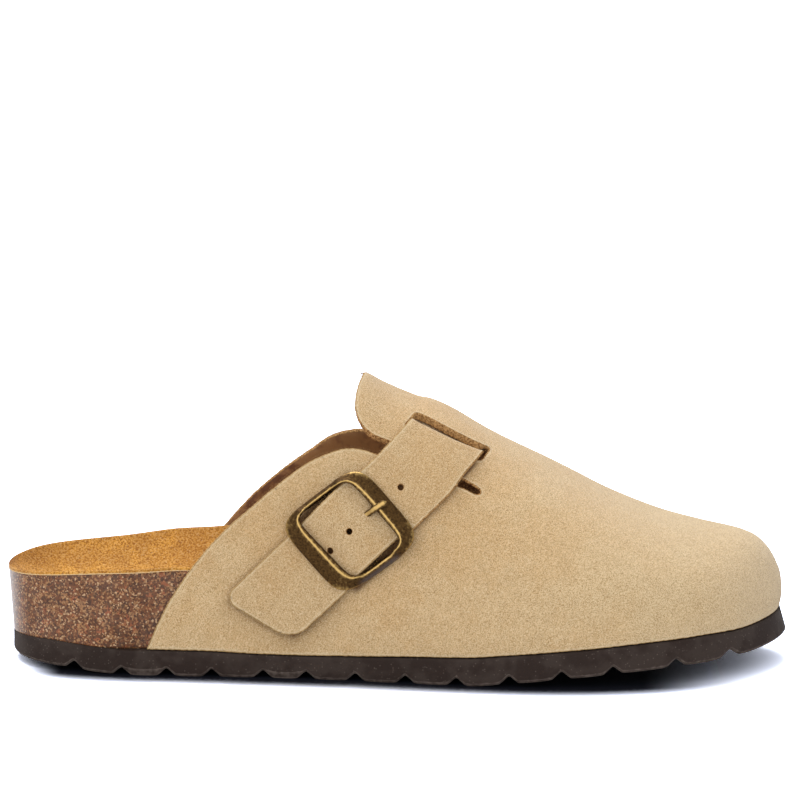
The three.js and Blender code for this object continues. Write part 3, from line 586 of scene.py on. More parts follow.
class Last:
    """The shoe's forms, in millimetres."""

    STEP = 0.002

    def __init__(self, settings):
        self.size = in_millimetres(settings)
        heel, ball = self.size.heel_width, self.size.ball_width
        at = station(np.concatenate([HEEL_ROWS["at"], BALL_ROWS["at"]]))
        self.half = {
            side: Curve(at, np.concatenate([HEEL_ROWS[name] * heel, BALL_ROWS[name] * ball]))
            for side, name in ((-1, "lateral"), (1, "medial"))
        }
        at = station(CREST_ROWS["at"])
        self.crest_height = Curve(at, CREST_ROWS["height"] * self.size.instep_height)
        self.crest_side = Curve(at, CREST_ROWS["side"] * ball)
        self.crest_round = Curve(at, CREST_ROWS["round"])
        self.lift = Curve(SOLE_ROWS["at"], SOLE_ROWS["lift"] * self.size.toe_spring)
        self.thick = Curve(SOLE_ROWS["at"], SOLE_ROWS["thick"] * self.size.sole_thickness)
        at = station(BED_ROWS["at"])
        rim = self.size.rim_height
        self.bed = {name: Curve(at, BED_ROWS[name] * rim) for name in ("lateral", "medial", "middle")}
        self.bed_cup = Curve(at, BED_ROWS["cup"])
        self.quarter_back = {
            side: Curve(edge["z"][:4] * self.size.instep_height, edge["x"][:4] * self.size.length)
            for side, edge in ((-1, LATERAL_EDGE), (1, MEDIAL_EDGE))
        }
        self.heel_rest = self.size.length * (NOTCHES[1] + NOTCHES[2]) / 2

    def underside(self, x):
        return self.lift(x / self.size.length)

    def sole_top(self, x):
        return self.underside(x) + self.thick(x / self.size.length)

    def feather(self, x):
        return self.sole_top(x) + self.size.clearance

    def outline(self, u, side, inset=0.0):
        """Feather line in plan on side -1 (lateral) or 1 (medial), moved in by inset, and its normal."""

        def place(v):
            v = np.clip(v, 0, 1)
            half = np.where(side < 0, self.half[-1](v), self.half[1](v))
            return self.size.length * share_at(v), side * half

        x, y = place(u)
        (x0, y0), (x1, y1) = place(u - self.STEP), place(u + self.STEP)
        size = np.hypot(x1 - x0, y1 - y0)
        nx, ny = -side * (y1 - y0) / size, side * (x1 - x0) / size
        heel, toe = u < self.STEP, u > 1 - self.STEP
        nx = np.where(heel, -1, np.where(toe, 1, nx))
        ny = np.where(heel | toe, 0, ny)
        return x - inset * nx, y - inset * ny, nx, ny

    def crest(self, u, inset):
        """Crest in the side view, moved in by inset, and the x of its normal."""

        def place(v):
            v = np.clip(v, 0, 1)
            return self.size.length * share_at(v), self.crest_height(v)

        x, z = place(u)
        (x0, z0), (x1, z1) = place(u - self.STEP), place(u + self.STEP)
        size = np.hypot(x1 - x0, z1 - z0)
        nx, nz = -(z1 - z0) / size, (x1 - x0) / size
        return x - inset * nx, z - inset * nz, nx

    def upper(self, u, t, inset=None):
        """The upper's face, moved in by inset: t is -1 at the lateral feather line, 0 on the crest and 1
        at the medial feather line."""
        inset = self.size.ledge if inset is None else inset
        side = np.where(t < 0, -1, 1)
        crestward = np.maximum(0, 1 - np.abs(t))
        theta = crestward * math.pi / 2
        foot_x, foot_y, foot_nx, foot_ny = self.outline(u, side, inset)
        other_x = self.outline(u, -side, inset)[0]
        top_x, top_z, top_nx = self.crest(u, inset)
        middle_x = (foot_x + other_x) / 2
        middle_y = self.crest_side(u)
        floor = self.feather(foot_x)
        power = 2 / self.crest_round(u)
        out = np.maximum(np.cos(theta), 0) ** power
        up = np.sin(theta) ** power
        height = np.maximum(0, top_z - floor) * up
        place = foot_x / self.size.length
        amount = self.size.toe_bulge * (0.6 * ramp(place, 0.3, 0.6) + 0.4 * ramp(place, 0.85, 1))
        level = height / self.size.bulge_height
        bump = amount * level * np.exp(1 - level)
        swell = bump * lerp(foot_nx, np.maximum(0, top_nx), crestward)
        x = middle_x + (foot_x - middle_x) * out + (top_x - middle_x) * up + swell
        y = middle_y + (foot_y - middle_y) * out + bump * foot_ny * (1 - crestward)
        return np.stack([x, y, floor + height], -1)

    def upper_normal(self, u, t):
        """The outward normal of the upper's face."""
        step = 2 * self.STEP
        low, high = np.maximum(0.05, u - step), np.minimum(1 - step, u + step)
        near, far = np.maximum(-1, t - step), np.minimum(1, t + step)
        lengthwise = self.upper(high, t) - self.upper(low, t)
        crosswise = self.upper(u, far) - self.upper(u, near)
        return unit(np.cross(lengthwise, crosswise))

    def inside(self, u, side, height, inset):
        """The inside of the upper at a height."""
        foot_x = self.outline(u, side, inset)[0]
        top_z = self.crest(u, inset)[1]
        floor = self.feather(foot_x)
        level = np.clip((height - floor) / np.maximum(1e-6, top_z - floor), 0, 0.95)
        theta = np.arcsin(level ** (self.crest_round(u) / 2))
        return self.upper(u, side * (1 - theta / (math.pi / 2)), inset)

    def bed_side(self, u, side, height):
        """A point of the footbed's side: it leans out at the bare heel and fits inside the upper."""
        x, y, nx, ny = self.outline(u, side)
        floor = self.feather(x)
        rise = np.maximum(0, height - floor) / (self.size.rim_height - floor)
        lean = self.size.cork_flare * rise * ramp(0.14 - x / self.size.length, 0, 0.13)
        fitted = self.inside(u, side, height, self.size.ledge + self.size.wall + 2 * self.size.clearance)
        back = self.quarter_back[side](height)
        cover = ramp(x - back, -1.9 * self.size.rebate, -0.2 * self.size.rebate)
        px = lerp(x + lean * nx, fitted[..., 0], cover)
        py = lerp(y + lean * ny, fitted[..., 1], cover)
        return np.stack([px, py, height + 0 * px], -1)

    def bed_surface(self, u, k):
        """The foot's surface of the liner, k from 0 at the lateral rim to 1 at the medial one."""
        rims = {-1: self.bed["lateral"](u), 1: self.bed["medial"](u)}
        left, right = self.bed_side(u, -1, rims[-1]), self.bed_side(u, 1, rims[1])
        across = 2 * k - 1
        middle = self.bed["middle"](u)
        rim = np.where(across < 0, rims[-1], rims[1])
        point = lerp(left, right, k[..., None])
        point[..., 2] = middle + (rim - middle) * np.abs(across) ** self.bed_cup(u)
        return point


class StrapPath:
    """Where the strap runs over the upper. Its edges lie in upright planes that slope as the strap does in
    the side view: w is the distance off the strap's middle, and run the way along the surface from the
    buckle's middle."""

    SPACING = 2.2
    COUNT = 11  # planes on each side of the middle
    RUN_STEP = 0.5

    def __init__(self, last, settings):
        self.last = last
        self.size = in_millimetres(settings)
        slope = self.size.angle
        self.middle = np.array(BUCKLE_MIDDLE) * (last.size.length, last.size.instep_height)
        self.lengthwise = np.array([math.cos(slope), math.sin(slope)])
        self.crosswise = np.array([math.sin(slope), -math.cos(slope)])
        planes = self.SPACING * np.arange(-self.COUNT, self.COUNT + 1)
        t, w = np.meshgrid(np.linspace(-0.985, 0.8, 141), planes)
        low, high = np.full_like(t, 0.2), np.full_like(t, 0.85)
        u = bisect(lambda v: self.view(last.upper(v, t))[1] < w, low, high)
        points = last.upper(u, t)
        slopes = self.view(points)[0]
        self.runs = np.arange(-75, 140, self.RUN_STEP)
        rows = []
        for line_u, line_t, line_s, line in zip(u, t, slopes, points):
            run = along(line)
            start = np.argmax(line_s > 0)
            k = -line_s[start - 1] / (line_s[start] - line_s[start - 1])
            run = run - lerp(run[start - 1], run[start], k)
            rows.append([np.interp(self.runs, run, values) for values in (line_u, line_t, line_s)])
        self.grid = np.array(rows)
        half = self.size.width / 2
        self.slot_runs = [self.slot_run(k * half) for k in (-1, 0, 1)]
        self.lift = Curve(STRAP_LIFT["run"], STRAP_LIFT["lift"])

    def view(self, points):
        """Distances along and across the strap's slope in the side view."""
        offset = points[..., [0, 2]] - self.middle
        return offset @ self.lengthwise, offset @ self.crosswise

    def place(self, run, w):
        """u and t on the upper, and the distance along the slope, at a run and a w."""
        row = np.clip(w / self.SPACING + self.COUNT, 0, 2 * self.COUNT - 1e-6)
        column = np.clip((run - self.runs[0]) / self.RUN_STEP, 0, len(self.runs) - 1.001)
        i, j = row.astype(int), column.astype(int)
        a, b = (row - i)[..., None], (column - j)[..., None]
        grid = self.grid.transpose(0, 2, 1)
        here, beside = lerp(grid[i, j], grid[i, j + 1], b), lerp(grid[i + 1, j], grid[i + 1, j + 1], b)
        found = lerp(here, beside, a)
        return found[..., 0], found[..., 1], found[..., 2]

    def slot_run(self, w):
        """Run at which a plane reaches the slot's upper edge."""
        target = self.size.slot_distance + self.size.slot_skew * w
        w = np.array([float(w)])
        furthest = 0 * w + 1.6 * self.size.slot_distance
        return bisect(lambda run: self.place(run, w)[2] < target, 0 * w, furthest)[0]

    def slot_at(self, w):
        """The same for whole arrays, as a parabola through three planes."""
        k = w / (self.size.width / 2)
        rear, middle, front = self.slot_runs
        return middle + ((front - rear) / 2) * k + ((front + rear) / 2 - middle) * k * k

    def back(self, run, w):
        """Height of the strap's back off the upper. Past the slot it lies under the upper's wall."""
        gap = self.last.size.clearance
        inside = -(self.last.size.wall + self.size.thickness + 2.5 * gap)
        dive = ramp(run - self.slot_at(w), 2.3 - self.size.slot_width, -0.4)
        return lerp(self.lift(run), inside, dive)

    def point(self, run, w, offset):
        """The point that lies off the upper by offset."""
        u, t, _ = self.place(run, w)
        return self.last.upper(u, t) + np.asarray(offset)[..., None] * self.last.upper_normal(u, t)


# Meshes


def quads(rows, columns, closed_rows=False, start=0):
    """Faces between neighbouring points of a grid, whose last column meets its first."""
    i = np.arange(rows if closed_rows else rows - 1)[:, None]
    j = np.arange(columns)[None, :]
    here, next_row, next_column = i * columns, ((i + 1) % rows) * columns, (j + 1) % columns
    corners = np.stack([here + j, here + next_column, next_row + next_column, next_row + j], axis=-1)
    return corners.reshape(-1, 4) + start


def fan(hub, ring):
    """Faces from a hub to a ring of points."""
    return [(hub, a, b) for a, b in zip(ring, np.roll(ring, -1))]


def make_mesh(name, points, faces, materials, face_materials=None, attributes=None):
    """A smooth mesh from points in millimetres in the frame of the last."""
    last = Last(bpy.context.scene.mule_last)
    places = (np.asarray(points) - (last.heel_rest, 0, 0)) * MM
    mesh = bpy.data.meshes.new(name)
    mesh.from_pydata(places.tolist(), [], [list(map(int, face)) for face in faces])
    mesh.polygons.foreach_set("use_smooth", np.ones(len(mesh.polygons), bool))
    for material in materials:
        mesh.materials.append(material)
    if face_materials is not None:
        mesh.polygons.foreach_set("material_index", np.asarray(face_materials, np.int32))
    for label, values in (attributes or {}).items():
        layer = mesh.attributes.new(label, "FLOAT", "POINT")
        layer.data.foreach_set("value", np.asarray(values, np.float32))
    mesh.update()
    return mesh


def make_piece(name, mesh, slot, *nodes):
    """An object that takes the place of its CAD nodes and moves with their body."""
    piece = bpy.data.objects.new(name, mesh)
    bpy.context.scene.collection.objects.link(piece)
    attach(piece, BODY)
    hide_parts(*nodes)
    return piece


def fill(loops, spacing):
    """Staggered points inside closed loops, off their edges."""
    starts = np.vstack(loops)
    ends = np.vstack([np.roll(loop, -1, axis=0) for loop in loops])
    tree = kdtree.KDTree(len(starts))
    for i, point in enumerate(starts):
        tree.insert((*point, 0), i)
    tree.balance()
    found = []
    row_step = spacing * math.sqrt(3) / 2
    levels = np.arange(starts[:, 1].min() + 0.4 * row_step, starts[:, 1].max(), row_step)
    for row, y in enumerate(levels):
        crossing = (starts[:, 1] <= y) != (ends[:, 1] <= y)
        a, b = starts[crossing], ends[crossing]
        stops = np.sort(a[:, 0] + (y - a[:, 1]) / (b[:, 1] - a[:, 1]) * (b[:, 0] - a[:, 0]))
        shift = 0.5 * (row % 2)
        for left, right in zip(stops[::2], stops[1::2]):
            first = math.ceil(left / spacing - shift)
            last = math.floor(right / spacing - shift)
            for column in range(first, last + 1):
                x = (column + shift) * spacing
                if tree.find((x, y, 0))[2] > 0.5 * spacing:
                    found.append((x, y))
    return np.array(found)


def turned(loop, outer):
    """The loop turned anticlockwise if it is the outer one, and clockwise if it is a hole."""
    x, y = loop.T
    area = np.sum(x * np.roll(y, -1) - np.roll(x, -1) * y)
    return loop if (area > 0) == outer else loop[::-1]


def triangulate(loops, inner):
    """Triangles over closed loops and inner points."""
    edges, start = [], 0
    for loop in loops:
        count = len(loop)
        edges += [(start + i, start + (i + 1) % count) for i in range(count)]
        start += count
    points = np.vstack([*loops, inner])
    whole = 0
    found = delaunay_2d_cdt([Vector(p) for p in points.tolist()], edges, [], whole, 1e-5)
    origin = np.array([ids[0] for ids in found[3]])
    faces = origin[np.array(found[2])]
    doubtful = (faces < start).all(axis=1)
    keep = ~doubtful
    keep[doubtful] = within(loops, points[faces[doubtful]].mean(axis=1))
    return faces[keep]


def within(loops, points):
    """Which points lie inside the loops, and outside those that are holes."""
    inside = np.zeros(len(points), bool)
    for loop in loops:
        for a, b in zip(loop, np.roll(loop, -1, axis=0)):
            level = (a[1] <= points[:, 1]) != (b[1] <= points[:, 1])
            span = b[1] - a[1] if b[1] != a[1] else 1
            inside ^= level & (points[:, 0] < a[0] + (points[:, 1] - a[1]) / span * (b[0] - a[0]))
    return inside


def fibres(rim, outward, upward, depth):
    """Loose fibres along a cut edge: thin spikes, four points and four faces each."""
    draw = np.random.default_rng(5)
    for_each_point = 3
    at = np.repeat(np.arange(len(rim)), for_each_point)
    outward, upward = outward[at], upward[at]
    sideways = unit(np.cross(outward, upward))
    bend, rise, shift, sink, reach = draw.uniform(-1, 1, (5, len(at), 1))
    direction = unit(outward + 0.9 * bend * sideways + (0.5 * rise + 0.1) * upward)
    root = rim[at] + 0.4 * shift * sideways - depth * (0.5 + 0.5 * sink) * upward
    across = unit(np.cross(direction, upward))
    other = np.cross(direction, across)
    width = 0.045
    spokes = [math.cos(a) * across + math.sin(a) * other for a in (0, 2.1, 4.2)]
    points = [root - 0.3 * direction + width * spoke for spoke in spokes]
    points.append(root + (0.1 + 0.5 * np.abs(reach) ** 2) * direction)
    first = 4 * np.arange(len(at))[:, None, None]
    faces = first + np.array([(0, 1, 3), (1, 2, 3), (2, 0, 3), (2, 1, 0)])
    return np.stack(points, 1).reshape(-1, 3), faces.reshape(-1, 3)


def sheet(loops, spacing, lining_spacing, surface, edge_profile, loose, slant):
    """A wall over a flat pattern: its face, a rim along every loop and its lining.
    surface(flat, depth) gives points that lie depth under the face, loose(points) tells where the rim
    bears loose fibres, and slant(points) how far the cut leans out for each millimetre of depth. What it
    gives back has the kind of leather of each face, and the nearest rim point and wear of each point."""
    loops = [turned(loop, i == 0) for i, loop in enumerate(loops)]
    rim = np.vstack(loops)
    inner = fill(loops, spacing)
    faces = triangulate(loops, inner)
    face_points = surface(np.vstack([rim, inner]), 0.0)

    outward = []
    start = 0
    for loop in loops:
        line = face_points[start : start + len(loop)]
        down = surface(loop, 0.5) - line
        tangent = np.roll(line, -1, axis=0) - np.roll(line, 1, axis=0)
        outward.append(unit(np.cross(tangent, -down)))
        start += len(loop)
    outward = np.vstack(outward)

    count = len(rim)
    # A loop of fewer points is a punched hole, whose rim is narrow and bears no fibres.
    fewest, narrow = 60, 0.35
    sizes = [len(loop) for loop in loops]
    small = np.repeat([narrow if size < fewest else 1.0 for size in sizes], sizes)
    outward *= small[:, None]
    rough = small * np.random.default_rng(3).uniform(-0.09, 0.09, count)
    lean = slant(face_points[:count])
    layers = [
        surface(rim, depth) + (out + rough + lean * depth)[:, None] * outward for out, depth in edge_profile
    ]
    face_points[:count] = layers[0]
    points = [face_points, *layers[1:]]
    starts = [0, *(len(face_points) + count * i for i in range(len(edge_profile) - 1))]
    walls = []
    for upper, lower in zip(starts, starts[1:]):
        start = 0
        for loop in loops:
            i = start + np.arange(len(loop))
            j = start + (np.arange(len(loop)) + 1) % len(loop)
            walls.append(np.stack([upper + i, lower + i, lower + j, upper + j], -1))
            start += len(loop)
    walls = np.vstack(walls)

    depth = edge_profile[-1][1]
    lining_inner = fill(loops, lining_spacing)
    lining_faces = triangulate(loops, lining_inner)[:, ::-1]
    lining_start = len(face_points) + count * (len(edge_profile) - 1)
    lining_faces += np.where(lining_faces < count, starts[-1], lining_start - count)
    points.append(surface(lining_inner, depth))
    upward = unit(layers[0] - surface(rim, 0.5))
    bare = (small == 1) & loose(layers[0])
    spikes, spike_faces = fibres(layers[2][bare], unit(outward[bare]), upward[bare], 0.85 * depth)
    spike_faces = spike_faces + sum(len(part) for part in points)
    points.append(spikes)

    made = SimpleNamespace()
    made.points = np.vstack(points)
    made.faces = [*faces, *walls, *lining_faces, *spike_faces]
    made.kinds = np.repeat([0, 1, 2, 1], [len(faces), len(walls), len(lining_faces), len(spike_faces)])
    made.rim_count = count
    made.face_count = len(face_points)
    tree = kdtree.KDTree(count)
    for i, point in enumerate(face_points[:count]):
        tree.insert(point, i)
    tree.balance()
    found = [tree.find(point) for point in made.points]
    made.nearest = np.array([item[1] for item in found])
    made.edge = np.exp(-np.array([item[2] for item in found]) / 1.1)
    made.edge[made.face_count :] = 1
    return made


# Shader nodes


def add(tree, kind, inputs=None, **settings):
    """A shader node with its settings, its inputs set or linked."""
    node = tree.nodes.new("ShaderNode" + kind)
    for key, value in settings.items():
        setattr(node, key, value)
    for key, value in (inputs or {}).items():
        if isinstance(value, bpy.types.NodeSocket):
            tree.links.new(value, node.inputs[key])
        else:
            node.inputs[key].default_value = value
    return node


def calculate(tree, operation, a, b=0.0):
    """Two values in one operation."""
    return add(tree, "Math", {0: a, 1: b}, operation=operation).outputs[0]


def share_of(tree, value, part):
    """The value times a part of 1."""
    return calculate(tree, "MULTIPLY", value, part)


def attribute(tree, name):
    """A value that the mesh holds at its points."""
    return add(tree, "Attribute", attribute_name=name).outputs["Fac"]


def stretch(tree, value, low, high, to_low=0.0, to_high=1.0):
    """The value, with low to high spread over another range."""
    inputs = {"Value": value, "From Min": low, "From Max": high, "To Min": to_low, "To Max": to_high}
    return add(tree, "MapRange", inputs, interpolation_type="SMOOTHSTEP").outputs["Result"]


def blend(tree, factor, a, b):
    """A mix of two colours."""
    a, b = (c if isinstance(c, bpy.types.NodeSocket) else (*c, 1) for c in (a, b))
    return add(tree, "Mix", {0: factor, 6: a, 7: b}, data_type="RGBA").outputs[2]


def tinted(tree, body, mask, amount, colour):
    """The body's colour with another one over it, by an amount of the mask."""
    return blend(tree, share_of(tree, mask, amount), body, colour)


def noise(tree, vector, scale, detail=2.0, roughness=0.5, distortion=0.0):
    inputs = {"Vector": vector, "Scale": scale, "Detail": detail, "Roughness": roughness}
    inputs["Distortion"] = distortion
    return add(tree, "TexNoise", inputs).outputs[0]


def new_group(name, inputs, outputs):
    """An empty shader node group, with its input values and its output node."""
    group = bpy.data.node_groups.new(name, "ShaderNodeTree")
    for label, (kind, default) in inputs.items():
        socket = group.interface.new_socket(name=label, in_out="INPUT", socket_type=kind)
        if default is not None:
            socket.default_value = default
    for label in outputs:
        group.interface.new_socket(name=label, in_out="OUTPUT", socket_type="NodeSocketFloat")
    given = group.nodes.new("NodeGroupInput")
    result = group.nodes.new("NodeGroupOutput")
    return group, given.outputs, result.inputs


VECTOR = ("NodeSocketVector", None)


def number(default):
    return ("NodeSocketFloat", default)


def mottle_group():
    """Soft patches: broad ones with smaller ones inside them."""
    name = "Soft Mottle"
    if name in bpy.data.node_groups:
        return bpy.data.node_groups[name]
    inputs = {"Vector": VECTOR, "Scale": number(30.0), "Softness": number(0.5)}
    group, given, result = new_group(name, inputs, ["Mask"])
    broad = noise(group, given["Vector"], given["Scale"], 3.0, 0.55, 0.4)
    finer = noise(group, given["Vector"], calculate(group, "MULTIPLY", given["Scale"], 4.3), 2.0, 0.5)
    both = calculate(group, "ADD", share_of(group, finer, 0.35), share_of(group, broad, 0.65))
    half = share_of(group, calculate(group, "SUBTRACT", 1.0, given["Softness"]), 0.25)
    low, high = calculate(group, "ADD", half, 0.25), calculate(group, "SUBTRACT", 0.75, half)
    group.links.new(stretch(group, both, low, high), result["Mask"])
    return group


def nap_group():
    """Napped leather: a fine grain of fibres over a coarser one, as a mask and as a height."""
    name = "Nap"
    if name in bpy.data.node_groups:
        return bpy.data.node_groups[name]
    inputs = {"Vector": VECTOR, "Scale": number(1400.0)}
    group, given, result = new_group(name, inputs, ["Mask", "Height"])
    fine = noise(group, given["Vector"], given["Scale"], 2.0, 0.7)
    coarse = noise(group, given["Vector"], share_of(group, given["Scale"], 0.4), 2.0, 0.6, 0.5)
    mask = calculate(group, "ADD", share_of(group, fine, 0.9), share_of(group, coarse, 0.1))
    group.links.new(stretch(group, mask, 0.34, 0.66), result["Mask"])
    group.links.new(mask, result["Height"])
    return group


def speck_group():
    """Scattered specks: of all cells, only the share that is asked for."""
    name = "Specks"
    if name in bpy.data.node_groups:
        return bpy.data.node_groups[name]
    inputs = {"Vector": VECTOR, "Scale": number(600.0), "Share": number(0.1)}
    group, given, result = new_group(name, inputs, ["Mask"])
    cells = add(group, "TexVoronoi", {"Vector": given["Vector"], "Scale": given["Scale"]})
    chance = add(group, "SeparateColor", {0: cells.outputs["Color"]}).outputs[0]
    picked = calculate(group, "LESS_THAN", chance, given["Share"])
    core = stretch(group, cells.outputs["Distance"], 0.42, 0.22)
    group.links.new(calculate(group, "MULTIPLY", picked, core), result["Mask"])
    return group


def worn_group():
    """Wear along an edge, broken up by noise."""
    name = "Worn Edge"
    if name in bpy.data.node_groups:
        return bpy.data.node_groups[name]
    inputs = {"Vector": VECTOR, "Edge": number(0.0), "Scale": number(400.0), "Breakup": number(0.5)}
    group, given, result = new_group(name, inputs, ["Mask"])
    rough = noise(group, given["Vector"], given["Scale"], 3.0, 0.6)
    offset = calculate(group, "MULTIPLY", calculate(group, "SUBTRACT", rough, 0.5), given["Breakup"])
    reached = calculate(group, "ADD", given["Edge"], calculate(group, "MULTIPLY", offset, 2.0))
    group.links.new(stretch(group, reached, 0.35, 0.9), result["Mask"])
    return group


def mottled(tree, place, scale, softness):
    """Mask of soft patches."""
    inputs = {"Vector": place, "Scale": scale, "Softness": softness}
    return add(tree, "Group", inputs, node_tree=mottle_group()).outputs["Mask"]


def napped(tree, place, scale):
    """Mask and height of a nap."""
    return add(tree, "Group", {"Vector": place, "Scale": scale}, node_tree=nap_group()).outputs


def specked(tree, place, scale, part):
    """Mask of scattered specks."""
    inputs = {"Vector": place, "Scale": scale, "Share": part}
    return add(tree, "Group", inputs, node_tree=speck_group()).outputs["Mask"]


def worn_edges(tree, place, scale, breakup):
    """Mask of the wear along the mesh's edges."""
    inputs = {"Vector": place, "Edge": attribute(tree, "edge"), "Scale": scale, "Breakup": breakup}
    return add(tree, "Group", inputs, node_tree=worn_group()).outputs["Mask"]


def new_material(name, values):
    """A material with its node tree, shader and object coordinates. values are the shader's constants."""
    material = bpy.data.materials.new(name)
    material.use_nodes = True
    tree = material.node_tree
    shader = next(node for node in tree.nodes if node.type == "BSDF_PRINCIPLED")
    for label, value in values.items():
        shader.inputs[label].default_value = value
    coordinates = add(tree, "TexCoord").outputs["Object"]
    return material, tree, shader, coordinates


def link_surface(tree, shader, colour, height, distance, strength):
    """Gives the shader its colour, and the height as a bump."""
    tree.links.new(colour, shader.inputs["Base Color"])
    bump = add(tree, "Bump", {"Height": height, "Distance": distance, "Strength": strength})
    tree.links.new(bump.outputs["Normal"], shader.inputs["Normal"])


# Finishes


def suede(name, colours):
    """Sand suede with a short nap, lighter patches and a worn lip along its edges."""
    values = {
        "Roughness": 0.92,
        "Specular IOR Level": 0.15,
        "Sheen Weight": 0.3,
        "Sheen Roughness": 0.45,
    }
    material, tree, shader, place = new_material(name, values)
    nap = napped(tree, place, 3300.0)
    ruffled = stretch(tree, mottled(tree, place, 210.0, 0.2), 0.6, 0.1)
    low_nap, high_nap = stretch(tree, nap["Mask"], 0.58, 0.05), stretch(tree, nap["Mask"], 0.5, 0.95)
    body = tinted(tree, colours.suede, mottled(tree, place, 24.0, 0.3), 0.45, colours.suede_light)
    # Painted light: paler towards the toe.
    body = blend(tree, attribute(tree, "brushed"), body, colours.suede_pale)
    # Painted shade over the flap's tip and beside the strap's tail; the strap is a little darker all over.
    body = blend(tree, attribute(tree, "deep"), body, colours.suede_dark)
    body = tinted(tree, body, ruffled, 0.1, colours.suede_dark)
    body = tinted(tree, body, low_nap, 0.82, colours.suede_dark)
    body = tinted(tree, body, high_nap, 0.6, colours.suede_lip)
    body = tinted(tree, body, worn_edges(tree, place, 900.0, 0.5), 0.4, colours.suede_lip)
    # Painted shade: the upper's face under the strap and the buckle, also seen through the strap's holes.
    body = tinted(tree, body, attribute(tree, "covered"), 0.87, colours.cut_edge_dark)
    link_surface(tree, shader, body, nap["Height"], 0.0006, 0.8)
    return material


def cut_edge(colours):
    """Raw edge of the leather: fibres in layers, pale along the collar and brown inside the slot, the slit
    and the holes, where the brown is partly the fibres' colour and partly painted shade.
    """
    material, tree, shader, place = new_material("cut edge", {"Roughness": 0.95, "Specular IOR Level": 0.1})
    nap = napped(tree, place, 1500.0)
    brown = blend(tree, nap["Mask"], colours.cut_edge_dark, colours.cut_edge)
    brown = tinted(tree, brown, mottled(tree, place, 260.0, 0.6), 0.35, colours.suede_dark)
    pale = blend(tree, nap["Mask"], colours.suede_dark, colours.cut_edge_pale)
    # Painted shade: the cut is brown where it lies in shade and pale where it faces the light.
    body = blend(tree, attribute(tree, "brown"), pale, brown)
    link_surface(tree, shader, body, nap["Height"], 0.0006, 0.9)
    return material


def lining(colours):
    """Smooth brown leather inside the upper."""
    material, tree, shader, place = new_material("lining", {"Roughness": 0.6, "Specular IOR Level": 0.35})
    body = tinted(tree, colours.lining, mottled(tree, place, 60.0, 0.3), 0.35, colours.cut_edge)
    link_surface(tree, shader, body, napped(tree, place, 900.0)["Height"], 0.0002, 0.4)
    return material


def cork(colours):
    """Pressed cork under a thin varnish: angular chips of several browns in two sizes."""
    values = {"Roughness": 0.6, "Specular IOR Level": 0.3, "Coat Roughness": 0.22}
    material, tree, shader, place = new_material("cork", values)
    bent = add(tree, "TexNoise", {"Vector": place, "Scale": 700.0, "Detail": 2.0})
    offset = add(tree, "VectorMath", {0: bent.outputs["Color"], 1: (0.5, 0.5, 0.5)}, operation="SUBTRACT")
    small = add(tree, "VectorMath", {0: offset.outputs[0], "Scale": 0.0006}, operation="SCALE")
    warped = add(tree, "VectorMath", {0: place, 1: small.outputs[0]}, operation="ADD").outputs[0]
    large = add(tree, "TexVoronoi", {"Vector": warped, "Scale": 620.0})
    fine = add(tree, "TexVoronoi", {"Vector": warped, "Scale": 1800.0})
    chip = add(tree, "SeparateColor", {0: large.outputs["Color"]}).outputs
    crumb = add(tree, "SeparateColor", {0: fine.outputs["Color"]}).outputs
    layers = (
        (chip[0], 0.5, 0.8, 0.45, colours.cork_dark),
        (chip[1], 0.84, 0.88, 0.4, colours.cork_tan),
        (chip[2], 0.91, 0.93, 0.75, colours.cork_rust),
        (crumb[0], 0.66, 0.8, 0.6, colours.cork_tan),
        (crumb[2], 0.58, 0.76, 0.8, colours.cork_dark),
        (crumb[1], 0.93, 0.95, 0.85, colours.cork_cream),
    )
    body = colours.cork
    for value, low, high, amount, colour in layers:
        body = tinted(tree, body, stretch(tree, value, low, high), amount, colour)
    thin = stretch(tree, mottled(tree, place, 90.0, 0.5), 0.0, 1.0, 0.12, 0.4)
    varnish = calculate(tree, "MAXIMUM", thin, attribute(tree, "varnish"))
    tree.links.new(varnish, shader.inputs["Coat Weight"])
    height = calculate(tree, "ADD", chip[0], share_of(tree, crumb[0], 0.6))
    link_surface(tree, shader, body, height, 0.00018, 0.5)
    return material


def liner(colours):
    """Ochre suede over the footbed, with light and dark specks."""
    values = {"Roughness": 0.95, "Specular IOR Level": 0.15, "Sheen Weight": 0.12, "Sheen Roughness": 0.5}
    material, tree, shader, place = new_material("liner", values)
    nap = napped(tree, place, 1500.0)
    low_nap, high_nap = stretch(tree, nap["Mask"], 0.6, 0.05), stretch(tree, nap["Mask"], 0.5, 0.95)
    body = tinted(tree, colours.liner, mottled(tree, place, 40.0, 0.35), 0.45, colours.liner_dark)
    body = tinted(tree, body, low_nap, 0.95, colours.liner_dark)
    body = tinted(tree, body, high_nap, 0.2, colours.liner_edge)
    body = tinted(tree, body, specked(tree, place, 1300.0, 0.12), 0.25, colours.liner_edge)
    link_surface(tree, shader, body, nap["Height"], 0.0004, 0.6)
    return material


def liner_edge(colours):
    """Pale edge where the liner's suede meets the cork."""
    values = {"Roughness": 0.9, "Specular IOR Level": 0.2}
    material, tree, shader, place = new_material("liner edge", values)
    body = tinted(tree, colours.liner_edge, napped(tree, place, 1300.0)["Mask"], 0.6, colours.liner)
    tree.links.new(body, shader.inputs["Base Color"])
    return material


def rubber(colours):
    """Dark brown rubber with pale specks and scuffed lug edges."""
    material, tree, shader, place = new_material("rubber", {"Roughness": 0.75, "Specular IOR Level": 0.3})
    body = tinted(tree, colours.rubber, mottled(tree, place, 45.0, 0.3), 0.12, colours.rubber_light)
    body = tinted(tree, body, specked(tree, place, 1500.0, 0.12), 0.4, colours.rubber_light)
    body = tinted(tree, body, worn_edges(tree, place, 500.0, 0.45), 0.7, colours.rubber_light)
    link_surface(tree, shader, body, napped(tree, place, 1600.0)["Height"], 0.0002, 0.4)
    return material


